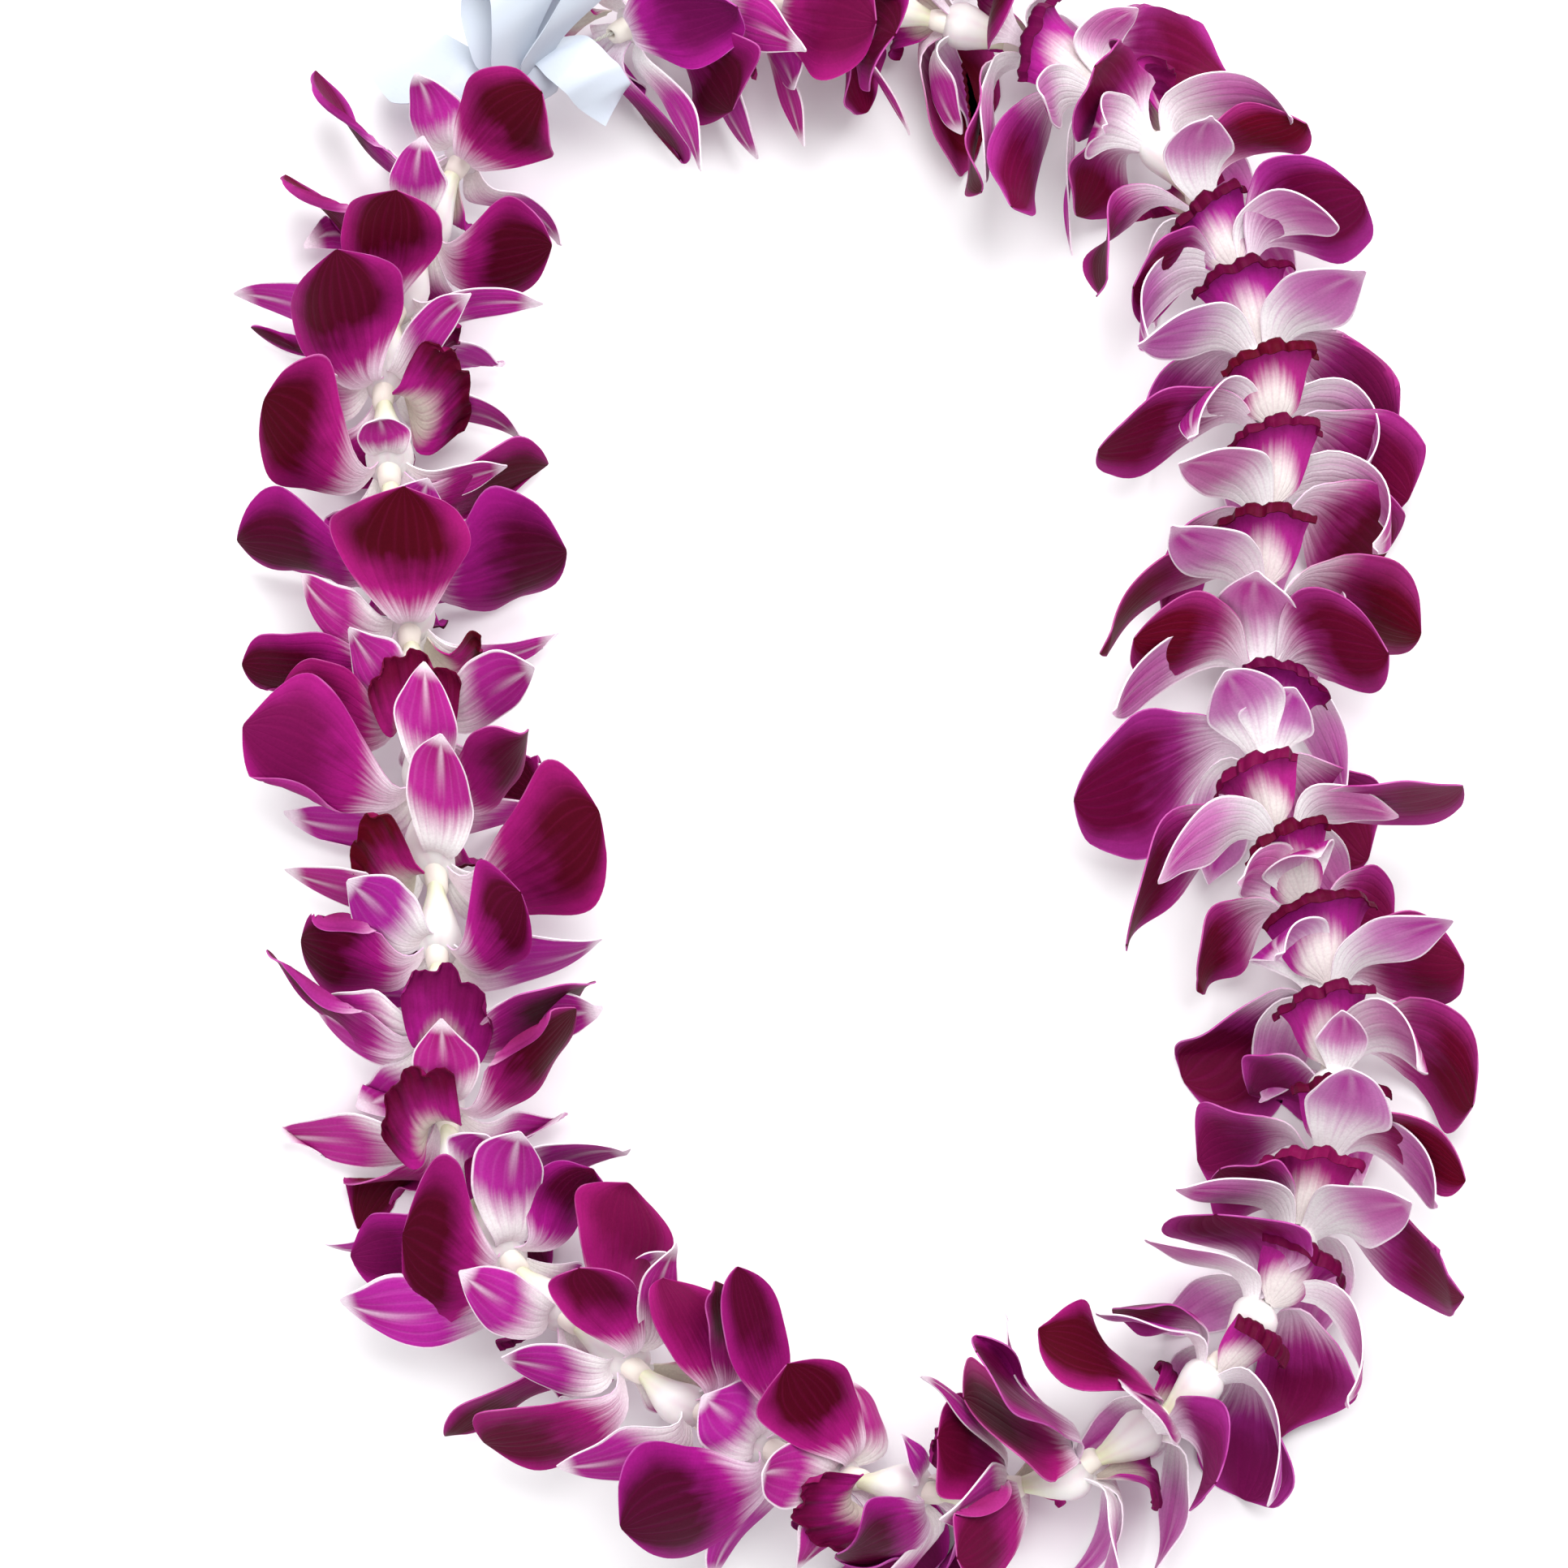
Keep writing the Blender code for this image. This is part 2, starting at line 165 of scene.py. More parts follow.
# world points for offsets from a bloom's centre, with what is low pressed on the surface
def put(along, across, up, forward):
    tip = leansAt(along)[0]
    free = leiRoute["height"] + up
    soft = leiRoute["floorSoft"]
    pressed = soft * np.exp(np.clip((free - soft) / soft, -20, 0))
    height = np.maximum(np.where(free < soft, pressed, free), leiRoute["floorLeast"])
    here, outward = routeAt(along + forward - tip * up + tip * (height - free))
    flat = here + outward * np.asarray(across)[..., None]
    return np.concatenate([flat, height[..., None]], axis=-1)


# small helpers for objects and meshes

def deselectAll():
    bpy.ops.object.select_all(action="DESELECT")


def activate(piece):
    deselectAll()
    piece.select_set(True)
    bpy.context.view_layer.objects.active = piece


def readPoints(piece):
    points = np.empty(len(piece.data.vertices) * 3)
    piece.data.vertices.foreach_get("co", points)
    return points.reshape(-1, 3)


def writePoints(piece, points):
    piece.data.vertices.foreach_set("co", millimetres(points).ravel())
    piece.data.update()


def copyOf(blank, name):
    piece = blank.copy()
    piece.data = blank.data.copy()
    piece.name = name
    bpy.context.scene.collection.objects.link(piece)
    piece.hide_set(False)
    return piece


def joinInto(first, others):
    deselectAll()
    for piece in others:
        piece.select_set(True)
    first.select_set(True)
    bpy.context.view_layer.objects.active = first
    bpy.ops.object.join()
    return first


def setAttribute(piece, name, value):
    layer = piece.data.attributes.new(name, "FLOAT", "POINT")
    layer.data.foreach_set("value", np.full(len(piece.data.vertices), value))


def selectWhere(piece, test):
    mesh = bmesh.from_edit_mesh(piece.data)
    for corner in mesh.verts:
        corner.select = test(corner.co)
    mesh.select_flush_mode()
    bmesh.update_edit_mesh(piece.data)


# shader helpers

def addNode(tree, kind, **settings):
    made = tree.nodes.new(kind)
    for key, value in settings.items():
        setattr(made, key, value)
    return made


def feed(tree, socket, value):
    if isinstance(value, bpy.types.NodeSocket):
        tree.links.new(value, socket)
    else:
        socket.default_value = value


def maths(tree, operation, first, second=0.0, third=0.0):
    made = addNode(tree, "ShaderNodeMath", operation=operation)
    for socket, value in zip(made.inputs, (first, second, third)):
        feed(tree, socket, value)
    return made.outputs[0]


def smoothRange(tree, value, low, high):
    made = addNode(tree, "ShaderNodeMapRange", interpolation_type="SMOOTHSTEP")
    for name, given in (("Value", value), ("From Min", low), ("From Max", high)):
        feed(tree, made.inputs[name], given)
    return made.outputs["Result"]


def mixColours(tree, share, first, second):
    made = addNode(tree, "ShaderNodeMix", data_type="RGBA")
    feed(tree, made.inputs[0], share)
    feed(tree, made.inputs[6], first)
    feed(tree, made.inputs[7], second)
    return made.outputs[2]


def newGroup(name, inputs, outputs):
    group = bpy.data.node_groups.new(name, "ShaderNodeTree")
    for label, kind, value in inputs:
        socket = group.interface.new_socket(label, in_out="INPUT", socket_type=kind)
        socket.default_value = value
    for label, kind in outputs:
        group.interface.new_socket(label, in_out="OUTPUT", socket_type=kind)
    return group, addNode(group, "NodeGroupInput"), addNode(group, "NodeGroupOutput")


# across and along a piece, read from its own flat map
def flatPlace(tree):
    flat = addNode(tree, "ShaderNodeUVMap", uv_map="flat")
    parts = addNode(tree, "ShaderNodeSeparateXYZ")
    tree.links.new(flat.outputs[0], parts.inputs[0])
    return parts.outputs[0], parts.outputs[1]


# waves over a surface: 0 in each valley and 1 on each ridge
def ridgeWave(tree, value, count):
    turns = maths(tree, "MULTIPLY", value, count)
    wave = maths(tree, "COSINE", maths(tree, "MULTIPLY", turns, 2 * math.pi))
    return maths(tree, "MULTIPLY_ADD", wave, 0.5, 0.5)


# a noise in object space, or along the given coordinates
def noise(tree, place, scale, detail):
    made = addNode(tree, "ShaderNodeTexNoise")
    made.inputs["Scale"].default_value = scale
    made.inputs["Detail"].default_value = detail
    tree.links.new(place, made.inputs["Vector"])
    return made.outputs["Fac"]


# a value that a cloudy noise shifts to both sides
def clouded(tree, value, cloud, share):
    return maths(tree, "MULTIPLY_ADD", cloud, share, maths(tree, "ADD", value, -share / 2))


# how the colours of a blade spread: lengths and widths are shares of the blade's own
flushSpread = {
    "streaksAcross": 24.0, "streaksAlong": 2.2, "streakSeeds": 40.0, "streakShift": 0.2,
    "cloudScale": 110.0, "cloudShift": 0.3, "cellScale": 1600.0,
    "heartFade": 0.46, "sideFade": 0.65, "sideHold": 0.85, "toneShare": 0.4, "toneLeast": 0.72,
    "veinBend": 0.06, "veinSharpness": 5.0, "veinStart": (0.02, 0.3),
    "spineWidth": 0.22, "spineReach": (0.45, 0.95), "spineShare": 0.6,
    "tipReach": (0.9, 1.03), "tipCloud": 0.1, "edgeCloud": 0.05, "edgeFade": 0.04, "edgeShare": 0.85,
    "tintTurn": 0.036, "tintLeast": 0.478, "cellShare": 0.3, "cellLeast": 0.87,
    # relief and roughness
    "veinDepth": -0.5, "streakHeight": 0.9, "cellHeight": 0.2, "roughShare": 0.2, "roughLeast": 0.42,
}


# a flower blade's colour over its length and width: pale root, flush, dark heart, veins and pale margin
def bladeFlushGroup():
    tree, given, result = newGroup("bladeFlush", [
        ("Root", "NodeSocketColor", (0.9, 0.86, 0.88, 1)),
        ("Flush", "NodeSocketColor", (0.4, 0.03, 0.3, 1)),
        ("Heart", "NodeSocketColor", (0.1, 0.005, 0.03, 1)),
        ("Margin", "NodeSocketColor", (0.85, 0.7, 0.8, 1)),
        ("Vein", "NodeSocketColor", (0.3, 0.02, 0.2, 1)),
        ("Root Reach", "NodeSocketFloat", 0.2),
        ("Root Fade", "NodeSocketFloat", 0.2),
        ("Side Hold", "NodeSocketFloat", 0.09),
        ("Heart Start", "NodeSocketFloat", 0.35),
        ("Heart Side", "NodeSocketFloat", 0.8),
        ("Heart Share", "NodeSocketFloat", 1.0),
        ("Margin Width", "NodeSocketFloat", 0.06),
        ("Tip Pale", "NodeSocketFloat", 0.0),
        ("Vein Count", "NodeSocketFloat", 9.0),
        ("Vein Share", "NodeSocketFloat", 0.3),
    ], [("Color", "NodeSocketColor"), ("Height", "NodeSocketFloat"), ("Roughness", "NodeSocketFloat")])
    spread = flushSpread
    across, along = flatPlace(tree)
    aside = maths(tree, "ABSOLUTE", maths(tree, "MULTIPLY_ADD", across, 2.0, -1.0))
    tone = addNode(tree, "ShaderNodeAttribute", attribute_name="tone").outputs["Fac"]
    tint = addNode(tree, "ShaderNodeAttribute", attribute_name="tint").outputs["Fac"]
    place = addNode(tree, "ShaderNodeTexCoord").outputs["Object"]

    # streaks run along the blade
    stretched = addNode(tree, "ShaderNodeCombineXYZ")
    feed(tree, stretched.inputs[0], maths(tree, "MULTIPLY", across, spread["streaksAcross"]))
    feed(tree, stretched.inputs[1], maths(tree, "MULTIPLY", along, spread["streaksAlong"]))
    feed(tree, stretched.inputs[2], maths(tree, "MULTIPLY", tint, spread["streakSeeds"]))
    streak = noise(tree, stretched.outputs[0], 1.0, 3.0)
    cloud = noise(tree, place, spread["cloudScale"], 2.0)

    # along, shifted by the streaks and held back at the sides
    shift = maths(tree, "MULTIPLY_ADD", streak, spread["streakShift"], -spread["streakShift"] / 2)
    lengthwise = maths(tree, "ADD", along, shift)
    held = maths(tree, "MULTIPLY", maths(tree, "POWER", aside, 2.0), given.outputs["Side Hold"])
    shifted = maths(tree, "SUBTRACT", lengthwise, held)
    rootEnd = maths(tree, "ADD", given.outputs["Root Reach"], given.outputs["Root Fade"])
    flushed = smoothRange(tree, shifted, given.outputs["Root Reach"], rootEnd)
    colour = mixColours(tree, flushed, given.outputs["Root"], given.outputs["Flush"])

    heartEnd = maths(tree, "ADD", given.outputs["Heart Start"], spread["heartFade"])
    deep = smoothRange(tree, clouded(tree, lengthwise, cloud, spread["cloudShift"]),
                       given.outputs["Heart Start"], heartEnd)
    sideStart = maths(tree, "SUBTRACT", given.outputs["Heart Side"], spread["sideFade"])
    side = smoothRange(tree, clouded(tree, aside, cloud, spread["cloudShift"]),
                       sideStart, given.outputs["Heart Side"])
    kept = maths(tree, "SUBTRACT", 1.0, maths(tree, "MULTIPLY", side, spread["sideHold"]))
    deep = maths(tree, "MULTIPLY", deep, kept)
    deep = maths(tree, "MULTIPLY", deep, given.outputs["Heart Share"])
    toned = maths(tree, "MULTIPLY_ADD", tone, spread["toneShare"], spread["toneLeast"])
    deep = maths(tree, "MULTIPLY", deep, toned)
    deep = maths(tree, "MINIMUM", deep, 1.0)
    colour = mixColours(tree, deep, colour, given.outputs["Heart"])

    # veins: fine lines that bend a little with the streaks
    bent = maths(tree, "MULTIPLY_ADD", streak, spread["veinBend"], across)
    wave = ridgeWave(tree, bent, given.outputs["Vein Count"])
    vein = maths(tree, "POWER", wave, spread["veinSharpness"])
    veinShare = maths(tree, "MULTIPLY", maths(tree, "MULTIPLY", vein, given.outputs["Vein Share"]),
                      smoothRange(tree, along, *spread["veinStart"]))
    veinColour = mixColours(tree, flushed, given.outputs["Flush"], given.outputs["Vein"])
    colour = mixColours(tree, maths(tree, "MULTIPLY", veinShare, streak), colour, veinColour)

    # a pale line down from the tip, and a pale margin and tip
    spine = maths(tree, "MULTIPLY", smoothRange(tree, aside, spread["spineWidth"], 0.0),
                  smoothRange(tree, shifted, *spread["spineReach"]))
    spine = maths(tree, "MULTIPLY", spine, spread["spineShare"])
    tipPale = smoothRange(tree, maths(tree, "MULTIPLY_ADD", cloud, spread["tipCloud"], along),
                          *spread["tipReach"])
    pale = maths(tree, "MULTIPLY", maths(tree, "MAXIMUM", spine, tipPale), given.outputs["Tip Pale"])
    marginStart = maths(tree, "SUBTRACT", 1.0, given.outputs["Margin Width"])
    edge = smoothRange(tree, clouded(tree, aside, cloud, spread["edgeCloud"]), marginStart,
                       maths(tree, "ADD", marginStart, spread["edgeFade"]))
    edge = maths(tree, "MAXIMUM", maths(tree, "MULTIPLY", edge, spread["edgeShare"]), pale)
    colour = mixColours(tree, edge, colour, given.outputs["Margin"])

    # velvet: tiny bright and dark cells, and each blade's own leaning to crimson or purple
    cells = noise(tree, place, spread["cellScale"], 1.0)
    velvet = addNode(tree, "ShaderNodeHueSaturation")
    turned = maths(tree, "MULTIPLY_ADD", tint, spread["tintTurn"], spread["tintLeast"])
    feed(tree, velvet.inputs["Hue"], turned)
    feed(tree, velvet.inputs["Color"], colour)
    feed(tree, velvet.inputs["Value"],
         maths(tree, "MULTIPLY_ADD", cells, spread["cellShare"], spread["cellLeast"]))
    tree.links.new(velvet.outputs[0], result.inputs["Color"])

    height = maths(tree, "MULTIPLY", streak, spread["streakHeight"])
    height = maths(tree, "MULTIPLY_ADD", vein, spread["veinDepth"], height)
    height = maths(tree, "MULTIPLY_ADD", cells, spread["cellHeight"], height)
    tree.links.new(height, result.inputs["Height"])
    rough = maths(tree, "MULTIPLY_ADD", streak, spread["roughShare"], spread["roughLeast"])
    tree.links.new(rough, result.inputs["Roughness"])
    return tree


# waxy or woven surfaces: a colour that fades along the piece, with soft ridges and pink stripes on them that
# are partly blush and partly painted shade of the ribbing
def waxFadeGroup():
    tree, given, result = newGroup("waxFade", [
        ("Near", "NodeSocketColor", (0.9, 0.88, 0.85, 1)),
        ("Far", "NodeSocketColor", (0.6, 0.6, 0.3, 1)),
        ("Fade Start", "NodeSocketFloat", 0.3),
        ("Fade End", "NodeSocketFloat", 0.9),
        ("Ridges", "NodeSocketFloat", 12.0),
        ("Rib Pink And Painted Shade", "NodeSocketColor", (0.7, 0.35, 0.55, 1)),
        ("Rib Pink And Painted Shade Share", "NodeSocketFloat", 0.2),
    ], [("Color", "NodeSocketColor"), ("Height", "NodeSocketFloat")])
    around, along = flatPlace(tree)
    cloud = noise(tree, addNode(tree, "ShaderNodeTexCoord").outputs["Object"], 220.0, 3.0)
    faded = smoothRange(tree, clouded(tree, along, cloud, 0.3), given.outputs["Fade Start"],
                        given.outputs["Fade End"])
    colour = mixColours(tree, faded, given.outputs["Near"], given.outputs["Far"])
    ridge = ridgeWave(tree, around, given.outputs["Ridges"])
    # pink stripes on the ridges: partly the piece's own blush, partly painted shade that makes the ribbing
    # show
    ribPinkAndPaintedShade = maths(tree, "MULTIPLY", maths(tree, "MULTIPLY", maths(tree, "POWER", ridge, 3.0), cloud),
                  given.outputs["Rib Pink And Painted Shade Share"])
    colour = mixColours(tree, ribPinkAndPaintedShade, colour, given.outputs["Rib Pink And Painted Shade"])
    tree.links.new(colour, result.inputs["Color"])
    tree.links.new(maths(tree, "MULTIPLY_ADD", ridge, 0.5, cloud), result.inputs["Height"])
    return tree


bladeFlush = bladeFlushGroup()
waxFade = waxFadeGroup()


# light goes a little way into a soft material; coat and gloss are the strength of what it mirrors
def newMaterial(name, roughness, soft=0.0, coat=0.0, gloss=0.35):
    made = bpy.data.materials.new(name)
    made.use_nodes = True
    shader = made.node_tree.nodes["Principled BSDF"]
    shader.inputs["Roughness"].default_value = roughness
    shader.inputs["Subsurface Weight"].default_value = soft
    shader.inputs["Subsurface Radius"].default_value = (1.0, 0.35, 0.6)
    shader.inputs["Subsurface Scale"].default_value = 0.0015
    shader.inputs["Coat Weight"].default_value = coat
    shader.inputs["Coat Roughness"].default_value = 0.25
    shader.inputs["Specular IOR Level"].default_value = gloss
    return made, shader


def roughen(tree, shader, height, strength, distance):
    relief = addNode(tree, "ShaderNodeBump")
    relief.inputs["Strength"].default_value = strength
    relief.inputs["Distance"].default_value = distance
    tree.links.new(height, relief.inputs["Height"])
    tree.links.new(relief.outputs[0], shader.inputs["Normal"])


# a material from a group, with the relief's strength and its height in metres
def groupedMaterial(name, group, values, relief, distance, **finish):
    made, shader = newMaterial(name, **finish)
    tree = made.node_tree
    surface = addNode(tree, "ShaderNodeGroup", node_tree=group)
    for label, value in values.items():
        surface.inputs[label].default_value = value
    tree.links.new(surface.outputs["Color"], shader.inputs["Base Color"])
    if "Roughness" in surface.outputs:
        tree.links.new(surface.outputs["Roughness"], shader.inputs["Roughness"])
    roughen(tree, shader, surface.outputs["Height"], relief, distance)
    return made


petalColours = {
    "Root": (0.95, 0.84, 0.92, 1), "Flush": (0.38, 0.01, 0.205, 1), "Heart": (0.066, 0.001, 0.012, 1),
    "Margin": (0.6, 0.16, 0.46, 1), "Vein": (0.24, 0.006, 0.09, 1), "Root Reach": 0.05, "Root Fade": 0.3,
    "Side Hold": 0.07, "Heart Start": 0.24, "Heart Side": 1.1, "Heart Share": 1.0, "Margin Width": 0.02,
    "Tip Pale": 0.0, "Vein Count": 11.0, "Vein Share": 0.2,
}
sepalColours = {
    "Root": (0.95, 0.93, 0.92, 1), "Flush": (0.42, 0.02, 0.26, 1), "Heart": (0.27, 0.006, 0.12, 1),
    "Margin": (0.92, 0.82, 0.89, 1), "Vein": (0.6, 0.18, 0.48, 1), "Root Reach": 0.12, "Root Fade": 0.36,
    "Side Hold": 0.1, "Heart Start": 0.5, "Heart Side": 0.9, "Heart Share": 0.7, "Margin Width": 0.07,
    "Tip Pale": 0.85, "Vein Count": 7.0, "Vein Share": 0.25,
}
petalBackColours = dict(petalColours, **{
    "Flush": (0.42, 0.03, 0.26, 1), "Heart": (0.12, 0.002, 0.024, 1), "Root Reach": 0.08, "Root Fade": 0.4,
    "Vein Share": 0.3,
})
sepalBackColours = dict(sepalColours, **{
    "Root": (0.95, 0.93, 0.94, 1), "Flush": (0.62, 0.24, 0.5, 1), "Heart": (0.46, 0.05, 0.3, 1),
    "Vein": (0.45, 0.1, 0.35, 1), "Root Reach": 0.14, "Root Fade": 0.42, "Heart Start": 0.36,
    "Heart Share": 0.95, "Vein Share": 0.3, "Tip Pale": 0.4,
})
lipColours = dict(petalColours, **{
    "Root": (0.62, 0.56, 0.48, 1), "Flush": (0.4, 0.012, 0.21, 1), "Heart": (0.08, 0.001, 0.012, 1),
    "Root Reach": 0.34, "Root Fade": 0.34, "Side Hold": -0.34, "Heart Start": 0.42, "Heart Side": 3.0,
    "Margin Width": 0.0, "Vein Count": 9.0, "Vein Share": 0.22,
})
lipBackColours = dict(lipColours, **{
    "Root": (0.76, 0.7, 0.68, 1), "Flush": (0.42, 0.02, 0.24, 1), "Heart": (0.13, 0.001, 0.016, 1),
    "Heart Start": 0.66,
})
# the tube's pink ridge stripes are partly its blush and partly painted shade of its ribbing
tubeColours = {
    "Near": (0.88, 0.87, 0.84, 1), "Far": (0.72, 0.73, 0.5, 1), "Fade Start": 0.4, "Fade End": 1.0,
    "Rib Pink And Painted Shade Share": 0.3, "Ridges": 6.0,
}
columnColours = {
    "Near": (0.9, 0.86, 0.76, 1), "Far": (0.3, 0.16, 0.07, 1), "Fade Start": 0.75, "Fade End": 1.0,
    "Rib Pink And Painted Shade Share": 0.1, "Ridges": 3.0,
}
flowerMaterials = [
    groupedMaterial(name, bladeFlush, colours, relief, 0.0003, roughness=0.5, gloss=0.05)
    for name, colours, relief in (
        ("petalFront", petalColours, 0.35), ("petalBack", petalBackColours, 0.4),
        ("sepalFront", sepalColours, 0.4), ("sepalBack", sepalBackColours, 0.4),
        ("lipFront", lipColours, 0.5), ("lipBack", lipBackColours, 0.4),
    )
]
flowerMaterials += [
    groupedMaterial("waxyTube", waxFade, tubeColours, 0.3, 0.0004, roughness=0.4, soft=0.15),
    groupedMaterial("column", waxFade, columnColours, 0.3, 0.0003, roughness=0.45),
]
print("flower materials made")

# blanks: each shape of the flower, flat or straight, modelled once

blankShapes = {
    "petal": {"length": 37.0, "columns": 20, "rows": 30, "outline": [
        (0.0, 3.4), (0.08, 5.2), (0.2, 11.4), (0.34, 19.8), (0.5, 26.8), (0.64, 29.2), (0.78, 27.2),
        (0.88, 21.4), (0.94, 14.6), (0.975, 7.8), (0.992, 3.4), (1.0, 0.9)]},
    "sepal": {"length": 33.0, "columns": 14, "rows": 26, "outline": [
        (0.0, 5.4), (0.1, 8.6), (0.25, 13.2), (0.42, 15.8), (0.6, 14.8), (0.76, 11.2), (0.88, 6.8),
        (0.95, 3.4), (0.985, 1.5), (1.0, 0.6)]},
    "lip": {"length": 1.0, "columns": 32, "rows": 22, "outline": [(0.0, 2.0), (1.0, 2.0)]},
}
rowCrowding = 1.5  # rows lie closer together towards the tip


# a smooth curve through a short list of points
def smoothRead(wanted, spots, values):
    spots, values = np.array(spots, float), np.array(values, float)
    slopes = np.gradient(values, spots)
    k = np.clip(np.searchsorted(spots, wanted, side="right") - 1, 0, len(spots) - 2)
    gap = spots[k + 1] - spots[k]
    share = (wanted - spots[k]) / gap
    square, cube = share ** 2, share ** 3
    return (values[k] * (2 * cube - 3 * square + 1) + slopes[k] * gap * (cube - 2 * square + share)
            + values[k + 1] * (3 * square - 2 * cube) + slopes[k + 1] * gap * (cube - square))


# all blanks hold all materials, so that their copies can be joined, and each shows its own
def finishBlank(blank, slotNumber):
    for material in flowerMaterials:
        blank.data.materials.append(material)
    blank.data.polygons.foreach_set("material_index", [slotNumber] * len(blank.data.polygons))
    blank.hide_set(True)


def makeBladeBlank(kind, slotNumber):
    shape = blankShapes[kind]
    deselectAll()
    bpy.ops.mesh.primitive_grid_add(x_subdivisions=shape["columns"], y_subdivisions=shape["rows"],
                                    size=2)
    blank = bpy.context.object
    blank.name = kind + "Blank"
    blank.data.uv_layers[0].name = "flat"
    parts, widths = zip(*shape["outline"])
    bpy.ops.object.mode_set(mode="EDIT")
    bpy.ops.mesh.select_all(action="SELECT")
    bpy.ops.transform.translate(value=(0, 1, 0))
    bpy.ops.transform.resize(value=(1, 0.5, 1), center_override=(0, 0, 0))
    lastWidth = widths[-1]
    for row in range(shape["rows"] + 1):
        even = row / shape["rows"]
        part = 1 - (1 - even) ** rowCrowding
        width = max(float(smoothRead(part, parts, widths)), lastWidth)
        near = 0.3 / shape["rows"]
        selectWhere(blank, lambda spot: abs(spot.y - even) < near and abs(spot.z) < 0.5)
        bpy.ops.transform.resize(value=(width / 2, 1, 1), center_override=(0, even, 0))
        bpy.ops.transform.translate(value=(0, part - even, 1))
    bpy.ops.mesh.select_all(action="SELECT")
    bpy.ops.transform.translate(value=(0, 0, -1))
    bpy.ops.transform.resize(value=(1, shape["length"], 1), center_override=(0, 0, 0))
    bpy.ops.object.mode_set(mode="OBJECT")
    spots = readPoints(blank)
    flat = blank.data.uv_layers[0]
    for corner, loop in zip(flat.data, blank.data.loops):
        corner.uv.y = spots[loop.vertex_index, 1] / shape["length"]
    finishBlank(blank, slotNumber)
    return blank


# a turned form: rings of the distance ahead, radius and shift towards the lip
turnedShapes = {
    "tube": {"sides": 20, "rings": [
        (-15.5, 1.5, 0.0), (-15.0, 2.0, 0.0), (-12.6, 2.7, 0.4), (-10.2, 3.7, 0.9), (-7.6, 4.7, 1.3),
        (-5.2, 5.6, 1.4), (-2.9, 6.0, 1.0), (-1.0, 5.6, 0.5), (0.5, 4.6, 0.0), (1.6, 3.1, 0.0)]},
    "column": {"sides": 14, "rings": [
        (0.5, 3.1, 0.0), (2.5, 2.9, -0.3), (4.2, 2.7, -0.5), (5.2, 2.3, -0.5), (5.6, 1.7, -0.4),
        (5.3, 1.1, -0.3), (3.8, 0.8, 0.0)]},
}


def makeTurnedBlank(kind, slotNumber):
    shape = turnedShapes[kind]
    rings = shape["rings"]
    deselectAll()
    bpy.ops.mesh.primitive_circle_add(vertices=shape["sides"], radius=rings[0][1], fill_type="NGON")
    blank = bpy.context.object
    blank.name = kind + "Blank"
    bpy.ops.object.mode_set(mode="EDIT")
    bpy.ops.mesh.select_all(action="SELECT")
    bpy.ops.transform.translate(value=(0, 0, rings[0][0]))
    for before, after in zip(rings, rings[1:]):
        bpy.ops.mesh.extrude_region_move(TRANSFORM_OT_translate={
            "value": (0, before[2] - after[2], after[0] - before[0])})
        bpy.ops.transform.resize(value=(after[1] / before[1], after[1] / before[1], 1),
                                 center_override=(0, -after[2], after[0]))
    bpy.ops.mesh.select_all(action="SELECT")
    bpy.ops.mesh.normals_make_consistent(inside=False)
    bpy.ops.object.mode_set(mode="OBJECT")
    points = readPoints(blank)
    steps = [math.dist(before[:2], after[:2]) for before, after in zip(rings, rings[1:])]
    walked = np.concatenate([[0], np.cumsum(steps)])
    ringNumber = np.arange(len(points)) // shape["sides"]
    layer = blank.data.uv_layers.new(name="flat")
    for loop in blank.data.loops:
        spot = points[loop.vertex_index]
        turn = math.atan2(spot[1], spot[0]) / (2 * math.pi) + 0.5
        part = walked[min(ringNumber[loop.vertex_index], len(rings) - 1)] / walked[-1]
        layer.data[loop.index].uv = (turn, 1 - part if kind == "tube" else part)
    finishBlank(blank, slotNumber)
    return blank


blanks = {
    "petal": makeBladeBlank("petal", 0),
    "sepal": makeBladeBlank("sepal", 2),
    "lip": makeBladeBlank("lip", 4),
    "tube": makeTurnedBlank("tube", 6),
    "column": makeTurnedBlank("column", 7),
}
print("blanks made")

# blooms

bloomShape = {
    "blades": [(29, "petal"), (90, "sepal"), (151, "petal"), (232, "sepal"), (270, "lip"), (308, "sepal")],
    "rootRadius": 3.4,
    "thickness": 0.4,
    # the lip by shares of its length: forward, radius and half spread, in blooms that stand or lie back
    "lipUpright": [(0.0, 1.2, 4.2, 16), (0.25, 5.2, 6.6, 58), (0.5, 10.8, 8.8, 66), (0.7, 15.2, 10.8, 62),
                   (0.81, 16.8, 13.0, 58), (0.91, 15.6, 15.4, 53), (1.0, 12.8, 16.4, 48)],
    "lipLaid": [(0.0, 1.2, 4.2, 16), (0.25, 4.4, 7.0, 58), (0.5, 5.0, 10.6, 54), (0.72, 4.4, 13.6, 50),
                (0.86, 3.4, 16.0, 46), (1.0, 4.6, 17.6, 38)],
}
